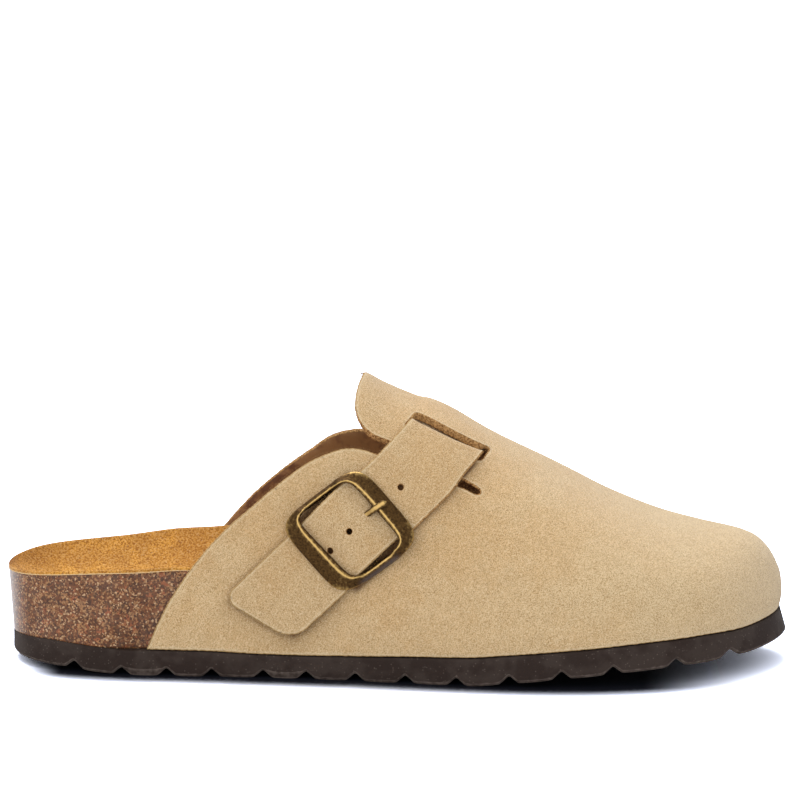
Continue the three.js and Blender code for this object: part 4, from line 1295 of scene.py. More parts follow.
def aged_brass(name, colours, polish):
    """Antique brass: dark patina on its faces and bright metal on its ridges, partly worn and partly a
    painted highlight, with a painted grey reflection on one bar.
    """
    values = {"Metallic": 1.0, "Specular IOR Level": 0.5}
    material, tree, shader, place = new_material(name, values)
    patches = mottled(tree, place, 1500.0, 0.9)
    bright = worn_edges(tree, place, 900.0, 0.35)
    shown = calculate(tree, "MAXIMUM", bright, share_of(tree, patches, polish))
    body = blend(tree, patches, colours.patina_dark, colours.patina)
    body = blend(tree, shown, body, colours.brass)
    # Painted reflection: cool grey on the outer face of one side bar.
    body = tinted(tree, body, attribute(tree, "grey"), 0.45, colours.brass_grey)
    tree.links.new(stretch(tree, shown, 0.0, 1.0, 0.52, 0.24), shader.inputs["Roughness"])
    link_surface(tree, shader, body, napped(tree, place, 2600.0)["Height"], 0.00012, 0.5)
    return material


# Pieces


def bare_colours(settings):
    """The colours as plain tuples."""
    names = [item.identifier for item in settings.bl_rna.properties if item.type == "FLOAT"]
    return SimpleNamespace(**{name: tuple(getattr(settings, name)) for name in names})


def lug_number(x, length):
    """Number of the lug at x, counted from the heel."""
    return np.searchsorted(NOTCHES * length, x)


def lug_bottom(last, x):
    """Height of the outsole's underside along its edge: rounded notches between slightly crowned lugs."""
    size = last.size
    centres = NOTCHES * size.length
    nearest = centres[np.abs(x[:, None] - centres).argmin(axis=1)]
    d = np.abs(x - nearest) / (size.notch_width / 2)
    soft = 0.16  # how round a notch is at its deepest and at both ends
    open_share = 1 - np.sqrt(d * d + soft**2)
    depth = size.lug_depth * (open_share + np.sqrt(open_share**2 + soft**2)) / 2
    ends = np.concatenate([[0], centres, [size.length]])
    lug = lug_number(x, size.length)
    middle, half = (ends[lug] + ends[lug + 1]) / 2, (ends[lug + 1] - ends[lug]) / 2
    crown_rise = 0.6
    crown = crown_rise * np.clip(np.abs(x - middle) / half, 0, 1) ** 3
    fade = ramp(x, 6, 14) * ramp(size.length - x, 6, 14)
    return last.underside(x) + depth + crown * fade


def sole_stations(size, spacing):
    """Places of the outsole's sections: close at both ends and round every notch."""
    ends = share_at(np.linspace(0, 0.16, 34))
    stops = np.concatenate([ends, 1 - ends]) * size.length
    half = np.array([0.04, 0.12, 0.25, 0.38, 0.47, 0.53, 0.6])
    shares = np.concatenate([-half[::-1], half])
    round_notches = (NOTCHES[:, None] * size.length + shares * size.notch_width).ravel()
    keys = np.unique(np.concatenate([stops, round_notches]))
    clear = np.concatenate([[True], np.diff(keys) > 0.02])
    clear[-1] = True
    keys = keys[clear]
    filled = []
    for a, b in zip(keys, keys[1:]):
        filled.append(np.linspace(a, b, max(1, math.ceil((b - a) / spacing)), endpoint=False))
    return np.concatenate([*filled, keys[-1:]])


def outsole_mesh(last, materials):
    size = last.size
    x = sole_stations(size, 1.0)
    u = station(x / size.length)
    bottom = lug_bottom(last, x)
    flat = bottom - last.underside(x) < 0.5 * size.lug_depth
    set_back = np.isin(lug_number(x, size.length), SET_BACK_LUGS) & flat
    chamfer = np.where(set_back, size.set_back_chamfer, size.edge_chamfer)
    kernel = np.array([0.25, 0.5, 0.25])
    chamfer[1:-1] = np.convolve(chamfer, kernel, mode="valid")
    top = last.sole_top(x)
    flare = size.toe_flare * ramp(x / size.length, 0.86, 1)

    # Section of the wall, from the top down: share of the height between the bevel and the top,
    # millimetres in from the edge, and wear. Then the bevel's: shares of the bevel's depth and of the
    # edge chamfer, and wear.
    wall_rows = table(
        "up inset wear",
        (1.0, 0.45, 0.0),
        (0.985, 0.14, 0.1),
        (0.94, 0.0, 0.15),
        (0.8, 0.0, 0.0),
        (0.6, 0.03, 0.0),
        (0.4, 0.03, 0.0),
        (0.2, 0.0, 0.0),
        (0.06, 0.0, 0.25),
        (0.0, 0.06, 0.7),
    )
    bevel_rows = table(
        "down inset wear",
        (0.35, 0.3, 0.55),
        (0.75, 0.72, 0.6),
        (0.95, 0.95, 0.9),
        (1.0, 1.2, 0.5),
    )

    def wall(side):
        ox, oy, nx, ny = last.outline(u, side)
        width = np.abs(last.outline(u, 1)[1] - last.outline(u, -1)[1])
        shrink = np.minimum(1, width / 2 / (1.5 * size.edge_chamfer))
        low = bottom + chamfer
        points, wear = [], []
        for up, inset, worn in zip(*wall_rows.values()):
            out = flare * (1 - up) - inset * shrink
            points.append(np.stack([ox + out * nx, oy + out * ny, lerp(low, top, up)], -1))
            wear.append(np.full(len(x), worn))
        for down, inset, worn in zip(*bevel_rows.values()):
            out = flare - inset * size.edge_chamfer * shrink
            points.append(np.stack([ox + out * nx, oy + out * ny, low - chamfer * down], -1))
            wear.append(np.full(len(x), worn))
        return np.array(points), np.array(wear)

    lateral, lateral_wear = wall(-1)
    medial, medial_wear = wall(1)
    k = np.linspace(0, 1, 46)[1:-1, None]
    y = lerp(medial[-1][:, 1], lateral[-1][:, 1], k)
    hold = 1 - (2 * k - 1) ** 4
    ends = ramp(x, 6, 24) * ramp(size.length - x, 6, 24)
    wave = size.tread_wave * hold * ends * np.sin(2 * math.pi * y / size.tread_wave_length)
    under_x = lerp(medial[-1][:, 0], lateral[-1][:, 0], k) + wave
    under = np.stack([under_x, y, np.broadcast_to(bottom, y.shape)], -1)
    k = np.linspace(0, 1, 12)[1:-1, None, None]
    top_face = lerp(lateral[0], medial[0], k)
    ring = np.concatenate([lateral[::-1], top_face, medial, under])
    unworn, unworn_under = np.zeros(top_face.shape[:2]), np.zeros(under.shape[:2])
    wear = np.concatenate([lateral_wear[::-1], unworn, medial_wear, unworn_under])
    rings = ring.transpose(1, 0, 2)
    points = rings.reshape(-1, 3)
    faces = quads(*rings.shape[:2])
    return make_mesh("outsole", points, faces, materials, attributes={"edge": wear.T.ravel()})


def bed_stations(count):
    return np.linspace(0, 1, count + 1)


def footbed_mesh(last, materials):
    size = last.size
    u = bed_stations(260)
    drop = size.liner_thickness + size.clearance
    across = share_at(np.linspace(0, 1, 41))[:, None]
    top = last.bed_surface(*np.broadcast_arrays(u[None, :], across))
    top[..., 2] -= drop

    def side(which, rim):
        x, _, nx, ny = last.outline(u, which)
        floor = last.feather(x) - size.clearance
        rows = []
        for k in (0.985, 0.95, 0.9, 0.8, 0.7, 0.6, 0.5, 0.4, 0.3, 0.2, 0.12, 0.06, 0.02, 0.0):
            height = lerp(floor, rim[:, 2], k)
            point = last.bed_side(u, which, height)
            tuck = 0.45 * (1 - ramp(np.full(len(u), k), 0, 0.35)) * ramp(x, 0.5, 4)
            point[:, 0] -= tuck * nx
            point[:, 1] -= tuck * ny
            rows.append(point)
        return np.array(rows)

    ring = np.concatenate([top, side(1, top[-1]), side(-1, top[0])[::-1]])
    rings = ring.transpose(1, 0, 2)
    points = rings.reshape(-1, 3)
    varnish = ramp(points[:, 0], 9, 0)
    faces = quads(*rings.shape[:2])[:, ::-1]
    return make_mesh("footbed", points, faces, materials, attributes={"varnish": varnish})


def liner_mesh(last, materials):
    size = last.size
    u = bed_stations(260)
    full = last.bed_surface(*np.broadcast_arrays(u[None, :], np.array([0.0, 1.0])[:, None]))
    width = np.maximum(np.linalg.norm(full[1] - full[0], axis=-1), 1e-3)
    thick = size.liner_thickness + 0.9 * size.clearance

    # Rounded edge of the liner: millimetres in from the rim and share of its thickness under the face.
    rim_rows = table(
        "inset drop",
        (0.0, 1.0),
        (-0.04, 0.78),
        (0.0, 0.5),
        (0.14, 0.24),
        (0.4, 0.08),
        (0.85, 0.0),
    )
    inner = share_at(np.linspace(0, 1, 47))[1:-1]
    shares, drops = [], []
    for inset, drop in zip(*rim_rows.values()):
        shares.append(np.minimum(inset / width, 0.45))
        drops.append(drop * thick)
    rim_share = shares[-1]
    for k in inner:
        shares.append(lerp(rim_share, 1 - rim_share, k))
        drops.append(0.0)
    for inset, drop in reversed(list(zip(*rim_rows.values()))):
        shares.append(1 - np.minimum(inset / width, 0.45))
        drops.append(drop * thick)
    shares, drops = np.array(shares), np.array(drops)
    top = last.bed_surface(np.broadcast_to(u, shares.shape), shares)
    rim_lines = len(rim_rows["inset"])
    for line in range(rim_lines - 1):
        top[line, :, 2] = full[0][:, 2] - drops[line]
        top[-1 - line, :, 2] = full[1][:, 2] - drops[line]
    under_share = np.linspace(1, 0, 21)[1:-1, None]
    under = last.bed_surface(*np.broadcast_arrays(u[None, :], under_share))
    under[..., 2] -= thick
    ring = np.concatenate([top, under])
    rings = ring.transpose(1, 0, 2)
    columns = rings.shape[1]
    faces = quads(*rings.shape[:2])[:, ::-1]
    column = np.tile(np.arange(columns), len(u) - 1)
    pale = (column == 0) | (column == len(top) - 2)
    return make_mesh("liner", rings.reshape(-1, 3), faces, materials, pale.astype(int))


class Pattern:
    """The upper laid flat: the first measure runs along the crest and the second down each side."""

    def __init__(self, last):
        self.last = last
        self.u = np.linspace(station(0.13), 1, 1500)
        crest = last.upper(self.u, 0 * self.u)
        self.lengthwise = along(crest)
        t = np.linspace(0, 1, 60)
        half = []
        for side in (-1, 1):
            grid = last.upper(self.u[:, None], side * t[None, :] - (1e-9 if side < 0 else 0))
            half.append(np.linalg.norm(np.diff(grid, axis=1), axis=-1).sum(axis=1))
        self.reach = np.maximum((half[0] + half[1]) / 2, 1e-3)

    def flat(self, u, t):
        return np.stack([np.interp(u, self.u, self.lengthwise), t * np.interp(u, self.u, self.reach)], -1)

    def place(self, flat):
        u = np.interp(flat[..., 0], self.lengthwise, self.u)
        return u, np.clip(flat[..., 1] / np.interp(u, self.u, self.reach), -1, 1)

    def seen(self, x, z, side):
        """u and t of points that are given by their place in the side view."""

        def point(u, t):
            return self.last.upper(u, side * t - (side < 0) * 1e-9)

        def t_at(u):
            low = np.zeros_like(u)
            return bisect(lambda t: point(u, t)[..., 2] > z, low, low + 1)

        start = np.full_like(x, self.u[0])
        end = np.full_like(x, 0.9)
        u = bisect(lambda v: point(v, t_at(v))[..., 0] < x, start, end, 30)
        return u, side * t_at(u)


def upper_loops(last, path, pattern, spacing):
    """Closed loops of the upper's pattern: its outline and the slot."""
    size = last.size
    ends = []
    for side, edge in ((-1, LATERAL_EDGE), (1, MEDIAL_EDGE)):
        rows = np.column_stack([np.concatenate([edge[name], FLAP_EDGE[name]]) for name in "xz"])
        if side > 0:
            rows[len(edge["x"]) :, 0] += MEDIAL_FLAP_SHIFT * np.array([1, 1, 1, 1, 0.8, 0.35])
        line = spline(rows * (size.length, size.instep_height), 14)
        line[:, 1] = np.maximum(line[:, 1], last.feather(line[:, 0]) + 0.01)
        u, t = pattern.seen(line[:, 0], line[:, 1], side)
        ends.append((np.concatenate([u[:1], u]), np.concatenate([[float(side)], t])))
    lateral, medial = (evenly(pattern.flat(u, t), spacing) for u, t in ends)
    tip = evenly(np.vstack([lateral[-1], medial[-1]]), spacing)
    feather = []
    for (u, _), side in zip(ends, (-1, 1)):
        stops = np.linspace(u[0], 1, 600)
        feather.append(evenly(pattern.flat(stops, np.full(600, float(side))), 1.6 * spacing))
    back = (feather[1][::-1][1:-1], medial[:-1], tip[::-1][:-1], lateral[::-1][:-1])
    outline = np.vstack([feather[0], *back])
    return [outline, pattern.flat(*slot_loop(path, last, spacing))]


def slot_loop(path, last, spacing):
    """The slot's rounded opening as u and t on the upper."""
    # The strap is drawn in where it passes the slot, so both ends of the slot lie within its width.
    rear_inset, front_inset = 0.8, 0.5
    rear = rear_inset - path.size.width / 2
    front = path.size.width / 2 - front_inset + path.size.slot_end_room
    w = np.linspace(rear, front, 200)
    corner = 1.6
    over = np.maximum(0, np.maximum(rear + corner - w, w - front + corner))
    ease = corner - np.sqrt(np.maximum(0, corner**2 - over**2))
    far = np.column_stack([path.slot_at(w) + last.size.clearance - ease, w])
    near = np.column_stack([path.slot_at(w) - path.size.slot_width + ease, w])
    loop = evenly(np.vstack([far, near[::-1], far[:1]]), spacing)[:-1]
    u, t, _ = path.place(loop[:, 0], loop[:, 1])
    return u, t


def soft_forms(last, points):
    """How far the suede swells or sinks at points of the upper."""
    size = last.size
    seen = points[:, [0, 2]]
    total = np.zeros(len(points))
    for x1, z1, x2, z2, width, height in zip(*LATERAL_FORMS.values()):
        a = np.array([x1 * size.length, z1 * size.instep_height])
        b = np.array([x2 * size.length, z2 * size.instep_height])
        k = np.clip((seen - a) @ (b - a) / ((b - a) @ (b - a)), 0, 1)
        off = np.linalg.norm(seen - (a + k[:, None] * (b - a)), axis=1)
        total += height * np.exp(-((off / width) ** 2)) * np.where(points[:, 1] < 0, 1, 0.6)
    sway = 0.12 * np.sin(points[:, 0] / 9.0 + 1.3 * np.sin(points[:, 2] / 7.0))
    sway += 0.1 * np.sin(points[:, 2] / 5.3 + points[:, 1] / 8.0)
    clear = ramp(points[:, 2] - last.feather(points[:, 0]), 1, 12)
    return (total + sway) * clear


def shares_of(last, points):
    """x as a share of the length and z as a share of the instep's height."""
    return points[:, 0] / last.size.length, points[:, 2] / last.size.instep_height


def upper_mesh(last, path, materials, spacing):
    pattern = Pattern(last)
    loops = upper_loops(last, path, pattern, 0.6 * spacing)
    outline_count = len(loops[0])

    def surface(flat, depth):
        """The wall thins towards the flap's tip and beside the slit."""
        u, t = pattern.place(flat)
        point, normal = last.upper(u, t), last.upper_normal(u, t)
        x, z = shares_of(last, point)
        skived = ramp(z, 0.87, 0.95) * ramp(x, 0.5, 0.46)
        by_slit = ramp(x, 0.5, 0.54) * ramp(x, 0.65, 0.62) * ramp(z, 0.56, 0.62) * ramp(z, 0.8, 0.74)
        thin = np.maximum(0.45 * skived, 0.6 * by_slit)
        return point + (soft_forms(last, point) - depth * (1 - thin))[:, None] * normal

    def loose(points):
        return points[:, 2] > last.feather(points[:, 0]) + 1.5

    def slant(points):
        """The cut leans out on the outer side: over the slit, beside the flap and in the slot."""
        x, z = shares_of(last, points)
        over_slit = ramp(x, 0.455, 0.475) * ramp(z + 1.2 * (x - 0.52), 0.745, 0.76) * ramp(z, 0.3, 0.6)
        flap = ramp(x, 0.435, 0.445) * ramp(z, 0.77, 0.79) * ramp(z, 0.87, 0.82)
        lean = np.maximum(0.12 * over_slit, 0.4 * flap) * (points[:, 1] < 0)
        across_slope = path.view(points[outline_count:])[1]
        lean[outline_count:] = 0.55 * ramp(across_slope, 12.5, 11)
        return lean

    made = sheet(loops, spacing, 2.4 * spacing, surface, UPPER_RIM, loose, slant)
    rim = made.points[: made.rim_count]
    x, z = shares_of(last, rim)
    # Painted shade: the cut edge is brown by the slit, under the flap, along the medial collar and in the
    # slot.
    slit = ramp(x, 0.455, 0.475) * ramp(z, 0.3, 0.6)
    flap = ramp(x, 0.435, 0.445) * ramp(z, 0.78, 0.8) * ramp(z, 0.91, 0.87)
    medial = 0.85 * (rim[:, 1] > 0) * ramp(x, 0.25, 0.29) * ramp(z, 0.8, 0.77)
    brown = np.maximum(slit, np.maximum(flap, medial))
    brown[outline_count:] = 0.85
    x, z = shares_of(last, made.points)
    flap_shade = 0.2 * ramp(z, 0.8, 0.9) * ramp(x, 0.52, 0.46)
    attributes = {
        "edge": made.edge,
        "brown": brown[made.nearest],
        # Painted shade under the strap and the buckle.
        "covered": painted_shade_under_strap(path, made),
        # Painted light: paler towards the toe.
        "brushed": 0.6 * ramp(x, 0.55, 0.92) + 0.2 * ramp(x, 0.9, 1),
        # Painted shade over the flap's tip and beside the strap's tail.
        "deep": np.maximum(flap_shade, shaded_by_tail(path, made)),
    }
    return make_mesh("upper", made.points, made.faces, materials, made.kinds, attributes)


def shaded_by_tail(path, made):
    """Soft shade on the upper beside the two lower edges of the strap's tail."""
    along_slope, across_slope = path.view(made.points)
    size = path.size
    beside = np.maximum(across_slope - size.width / 2, 0)
    end = path.place(np.array([-size.tail]), np.zeros(1))[2]
    beyond = np.maximum(end + size.tail_skew * across_slope - along_slope, 0)
    away = np.hypot(beside, beyond)
    # A close dark line and a wide soft shade, each with its strength and its reach in millimetres.
    shade = sum(strength * ramp(away, reach, 0) for strength, reach in ((0.4, 3), (0.34, 12)))
    shade *= ramp(across_slope, -size.width / 2 - 1, -size.width / 2 + 4) * ramp(along_slope, -15, -22)
    return shade * (made.points[:, 1] < 0)


def painted_shade_under_strap(path, made):
    """1 at the points of the upper's face that the strap and the buckle keep from the light."""
    face = made.points[: made.face_count]
    along_slope, across_slope = path.view(face)
    size = path.size
    half = size.width / 2 - PINCH_AT_SLOT * (across_slope < 0) * ramp(along_slope, 8, 15)
    under = ramp(np.abs(across_slope) - half, 0.1, -1.2)
    under *= ramp(along_slope, -size.tail + 3, -size.tail + 7)
    to_slot = along_slope - size.slot_skew * across_slope
    under *= ramp(to_slot, size.slot_distance - 4, size.slot_distance - 8)
    buckle = ramp(np.abs(across_slope), 17.5, 15.5) * ramp(np.abs(along_slope), 15, 12)
    covered = np.maximum(under, buckle) * (face[:, 1] < 0)
    covered[: made.rim_count] = 0
    return np.concatenate([covered, np.zeros(len(made.points) - made.face_count)])


def hole_place(size, number):
    """Run and w of a hole's middle."""
    along_row, across_row = HOLE_ROWS[number]
    return (2 - number) * size.hole_pitch + along_row, size.hole_shift + across_row


def strap_loops(path, spacing):
    """The strap's outline and its holes, as run and minus w."""
    size = path.size
    w = np.linspace(-size.width / 2, size.width / 2, 240)
    corner = np.where(w < 0, size.rear_corner, size.front_corner)
    over = np.maximum(0, np.abs(w) - (size.width / 2 - corner))
    rounding = corner - np.sqrt(np.maximum(0, corner**2 - over**2))
    tail = np.column_stack([-size.tail + size.tail_skew * w + rounding, -w])
    end = size.slot_distance + size.inside
    head = np.array([[end, -size.width / 2], [end, size.width / 2]])
    parts = (tail, np.vstack([tail[-1:], head[:1]]), head, np.vstack([head[1:], tail[:1]]))
    loop = np.vstack([evenly(part, spacing)[:-1] for part in parts])
    angle = np.linspace(0, 2 * math.pi, 29)[:-1]
    radius = 0.82 * size.hole_diameter / 2
    loops = [loop]
    for i in range(size.hole_count):
        run, w = hole_place(size, i)
        loops.append(np.column_stack([run + radius * np.cos(angle), -w + radius * np.sin(angle)]))
    return loops


def strap_mesh(path, materials, spacing):
    size = path.size
    half = size.width / 2
    loops = strap_loops(path, 0.55 * spacing)
    holes = [hole_place(size, i) for i in range(size.hole_count)]

    def surface(flat, depth):
        """The strap is drawn in under the buckle and towards the slot, lifts at the edges of its tail and
        is dimpled round its holes."""
        run, w = flat[:, 0], -flat[:, 1]
        front_pinch = PINCH_AT_BUCKLE * ramp(np.abs(run), 16.5, 11) + PINCH_AT_SLOT * ramp(run, 34, 46)
        rear_pinch = PINCH_AT_SLOT * ramp(run, 8, 15)
        w = w - front_pinch * ramp(w, 0, half) + rear_pinch * ramp(w, 0, -half)
        tail = 0.5 * ramp(run, -size.tail + 16, -size.tail) * (w / half) ** 2
        before_slot = ramp(run, size.slot_distance - 12, size.slot_distance - 30)
        crown = 0.22 * (1 - (2 * w / size.width) ** 2) * before_slot
        ripple = 0.08 * np.sin(run / 6.1 + w / 9.0) * ramp(run, 42, 30)
        dimple = sum(-0.28 * np.exp(-((run - at) ** 2 + (w - aside) ** 2) / 5.0) for at, aside in holes)
        share_up = np.clip(1 - depth / size.thickness, 0, 1)
        offset = path.back(run, w) + tail + size.thickness - depth + (crown + ripple + dimple) * share_up
        return path.point(run, w, offset)

    def loose(points):
        return path.view(points)[0] < size.slot_distance - 6

    def slant(points):
        return np.zeros(len(points))

    made = sheet(loops, spacing, 1.8 * spacing, surface, STRAP_RIM, loose, slant)
    hole = (np.arange(made.rim_count) >= len(loops[0])).astype(float)[made.nearest]
    along_slope, across_slope = path.view(made.points[: made.rim_count])
    # Painted shade: brown along the strap's lower front edge and in its holes.
    front = 0.7 * ramp(across_slope, half - 4, half - 2.5) * ramp(along_slope, 10, 14)
    attributes = {
        "edge": made.edge * (1 - 0.8 * hole),
        "brown": np.maximum(hole, front[made.nearest]),
        # The whole strap is a little darker.
        "deep": np.full(len(made.edge), 0.18),
    }
    return make_mesh("strap", made.points, made.faces, materials, made.kinds, attributes)


class BuckleFrame:
    """Coordinates of the buckle, which sits askew on the strap."""

    END_ROOM = 1.6  # from the strap's thickness up to the floor of the end bars
    BAR_ROOM = 0.5  # from the upper to the hidden bar

    def __init__(self, path, settings):
        self.path = path
        self.size = in_millimetres(settings)
        self.end_floor = path.size.thickness + self.END_ROOM
        self.side_floor = path.last.size.clearance
        self.bar_height = self.BAR_ROOM + self.size.bar_diameter / 2

    def point(self, run, w, offset):
        run, w = run + self.size.skew_end * w, w + self.size.skew_side * run
        c, s = math.cos(self.size.turn), math.sin(self.size.turn)
        return self.path.point(run * c - w * s, run * s + w * c, offset)


def rounded_loop(along_half, across_half, power_along, power_across, angle):
    """A rounded rectangle in polar form."""
    c, s = np.cos(angle), np.sin(angle)

    def inside(r):
        return np.abs(r * c / along_half) ** power_along + np.abs(r * s / across_half) ** power_across < 1

    r = bisect(inside, 0 * angle, 0 * angle + 2 * max(along_half, across_half))
    return np.stack([r * c, r * s])


def buckle_mesh(buckle, materials):
    size = buckle.size
    angle = np.linspace(0, 2 * math.pi, 301)[:-1]
    outer = rounded_loop(size.outer_along, size.outer_across, 4, 6, angle)
    inner = rounded_loop(size.inner_along, size.inner_across, 6, 8, angle)
    # The front side bar sits closer in than the rear one, and the lower end bar is the thicker one.
    outer[1] *= np.where(outer[1] > 0, 0.955, 1)
    inner[1] *= np.where(inner[1] > 0, 0.9, 1)
    inner[0] += ramp(inner[0], 0, -6) * (0.5 + 0.045 * (inner[1] + 13))
    on_end = ramp(np.abs(inner[0]), 0.4 * size.inner_along, 0.68 * size.inner_along)
    floor = lerp(buckle.side_floor, buckle.end_floor, on_end)
    side_rise = 0.6
    top = lerp(buckle.end_floor + side_rise, buckle.end_floor + size.height, on_end)
    at_corner = np.abs(np.sin(2 * angle)) ** 4
    # Painted reflection: grey on the outer rows of the front side bar.
    one_bar = (1 - on_end) * (np.sin(angle) > 0)
    columns, wear, grey = [], [], []
    for side, end, side_level, end_level, worn, corner in zip(*BUCKLE_ROWS.values()):
        k = lerp(side, end, on_end)
        level = lerp(side_level, end_level, on_end)
        run, w = lerp(outer, inner, k)
        columns.append(buckle.point(run, w, lerp(floor, top, level)))
        wear.append(worn + corner * at_corner)
        grey.append(one_bar * max(0, 1 - side / 0.5))
    rings = np.array(columns).transpose(1, 0, 2)
    points = rings.reshape(-1, 3)
    faces = list(quads(*rings.shape[:2], closed_rows=True))
    wear, grey = np.array(wear).T.ravel(), np.array(grey).T.ravel()

    # The hidden bar that the prong turns on.
    reach = (size.outer_across + size.inner_across) / 2
    rows, sides = 25, 16
    w = np.repeat(np.linspace(-reach, reach, rows), sides)
    turn_angle = np.tile(np.linspace(0, 2 * math.pi, sides + 1)[:-1], rows)
    radius = size.bar_diameter / 2
    bar = buckle.point(radius * np.cos(turn_angle), w, buckle.bar_height + radius * np.sin(turn_angle))
    start = len(points)
    faces += list(quads(rows, sides, start=start)[:, ::-1])
    hubs = [bar[:sides].mean(axis=0), bar[-sides:].mean(axis=0)]
    faces += fan(start + len(bar), start + np.arange(sides))
    faces += fan(start + len(bar) + 1, start + len(bar) - sides + np.arange(sides)[::-1])
    points = np.vstack([points, bar, hubs])
    hidden = np.zeros(len(bar) + 2)
    attributes = {"edge": np.concatenate([wear, hidden]), "grey": np.concatenate([grey, hidden])}
    return make_mesh("buckle_frame", points, faces, materials, attributes=attributes)


def prong_mesh(buckle, materials):
    """The prong hooks over the bar under the strap, rises through a hole and rests on the frame."""
    size = buckle.size
    path = buckle.path
    gap = path.last.size.clearance
    rest = buckle.end_floor + size.height + 0.3 * gap + size.prong_thickness / 2
    hook = size.bar_diameter / 2 + gap + size.prong_thickness / 2
    bar = buckle.bar_height
    stops = (
        (-hook, bar),
        (-0.71 * hook, bar + 0.71 * hook),
        (0, bar + hook),
        (3, bar + 0.75 * hook),
        (6.4, bar + 1.1 * hook),
        (9, 0.62 * rest),
        (11.4, 0.93 * rest),
        (13, rest),
        (16.6, rest),
    )
    line = spline(stops, 12)
    direction = unit(np.gradient(line, axis=0))
    distance = along(line)
    left = distance[-1] - distance
    taper = np.sqrt(np.clip(left / 1.1, 0.02, 1)) * lerp(1.12, 0.95, ramp(left, 0.5, 4.5))
    angle = np.linspace(0, 2 * math.pi, 21)[:-1]
    power = 0.75
    cos = np.sign(np.cos(angle)) * np.abs(np.cos(angle)) ** power
    sin = np.sign(np.sin(angle)) * np.abs(np.sin(angle)) ** power
    out = size.prong_thickness / 2 * taper[:, None] * sin
    lean = size.prong_lean * (line[:, :1] - path.size.hole_pitch)
    step_aside = 0.45 * ramp(line[:, :1], 3, 8)
    half_width = size.prong_width / 2 * taper[:, None]
    w = path.size.hole_shift - step_aside + lean + half_width * cos
    run = line[:, :1] - out * direction[:, 1:]
    offset = line[:, 1:] + out * direction[:, :1]
    rings = buckle.point(run, w, offset)
    count, columns = rings.shape[:2]
    points = np.vstack([rings.reshape(-1, 3), rings[0].mean(axis=0), rings[-1].mean(axis=0)])
    faces = list(quads(count, columns)[:, ::-1])
    faces += fan(count * columns, np.arange(columns))
    faces += fan(count * columns + 1, (count - 1) * columns + np.arange(columns)[::-1])
    # Worn and painted highlight: bright along the prong's top, darker on its sides.
    top_wear_and_painted_highlight = 0.1 + 0.8 * np.clip(np.sin(angle), 0, 1) ** 4
    wear = np.concatenate([np.tile(top_wear_and_painted_highlight, count), [0.5, 0.5]])
    return make_mesh("buckle_prong", points, faces, materials, attributes={"edge": wear})


def build_setting():
    """The last, the strap's path and the colours of the scene."""
    scene = bpy.context.scene
    last = Last(scene.mule_last)
    return last, StrapPath(last, scene.mule_strap), bare_colours(scene.mule_colours)


def mesh_spacing():
    """Distance between two points of the suede, in millimetres."""
    return 0.95


class MULE_OT_build_outsole(Operator):
    """Lugged rubber outsole"""

    bl_idname = "mule.build_outsole"
    bl_label = "Outsole"

    def execute(self, context):
        last, _, colours = build_setting()
        make_piece("outsole_piece", outsole_mesh(last, [rubber(colours)]), "outsole_rubber", "outsole")
        return {"FINISHED"}


class MULE_OT_build_footbed(Operator):
    """Cork footbed"""

    bl_idname = "mule.build_footbed"
    bl_label = "Footbed"

    def execute(self, context):
        last, _, colours = build_setting()
        make_piece("footbed_piece", footbed_mesh(last, [cork(colours)]), "cork", "footbed")
        return {"FINISHED"}


class MULE_OT_build_liner(Operator):
    """Suede that covers the footbed"""

    bl_idname = "mule.build_liner"
    bl_label = "Liner"

    def execute(self, context):
        last, _, colours = build_setting()
        materials = [liner(colours), liner_edge(colours)]
        make_piece("liner_piece", liner_mesh(last, materials), "liner_suede", "insole")
        return {"FINISHED"}


class MULE_OT_build_upper(Operator):
    """Suede upper with its slot and tongue flap"""

    bl_idname = "mule.build_upper"
    bl_label = "Upper"

    def execute(self, context):
        last, path, colours = build_setting()
        materials = [suede("suede", colours), cut_edge(colours), lining(colours)]
        make_piece("upper_piece", upper_mesh(last, path, materials, mesh_spacing()), "suede", "upper")
        return {"FINISHED"}


class MULE_OT_build_strap(Operator):
    """Suede strap with its row of holes"""

    bl_idname = "mule.build_strap"
    bl_label = "Strap"

    def execute(self, context):
        _, path, colours = build_setting()
        materials = [suede("strap suede", colours), cut_edge(colours), lining(colours)]
        make_piece("strap_piece", strap_mesh(path, materials, mesh_spacing()), "suede", "strap")
        return {"FINISHED"}


class MULE_OT_build_buckle(Operator):
    """Aged brass buckle: its frame and its prong"""

    bl_idname = "mule.build_buckle"
    bl_label = "Buckle"

    def execute(self, context):
        _, path, colours = build_setting()
        buckle = BuckleFrame(path, context.scene.mule_buckle)
        frame_mesh = buckle_mesh(buckle, [aged_brass("aged brass", colours, 0.04)])
        make_piece("buckle_frame_piece", frame_mesh, "aged_brass", "buckle_frame")
        made = prong_mesh(buckle, [aged_brass("polished brass", colours, 0.2)])
        make_piece("buckle_prong_piece", made, "aged_brass", "buckle_prong")
        return {"FINISHED"}


# Stage


def add_camera(studio):
    camera = bpy.data.objects.new("camera", bpy.data.cameras.new("camera"))
    bpy.context.scene.collection.objects.link(camera)
    camera.data.lens = studio.focal_length
    camera.data.sensor_width = 36
    camera.data.clip_start, camera.data.clip_end = 0.05, 60
    level = Matrix.Rotation(math.pi / 2 - studio.camera_dip, 4, "X")
    place = Matrix.Translation((studio.camera_right, -studio.camera_back, studio.camera_up))
    camera.matrix_world = place @ level @ Matrix.Rotation(studio.camera_roll, 4, "Z")
    bpy.context.scene.camera = camera


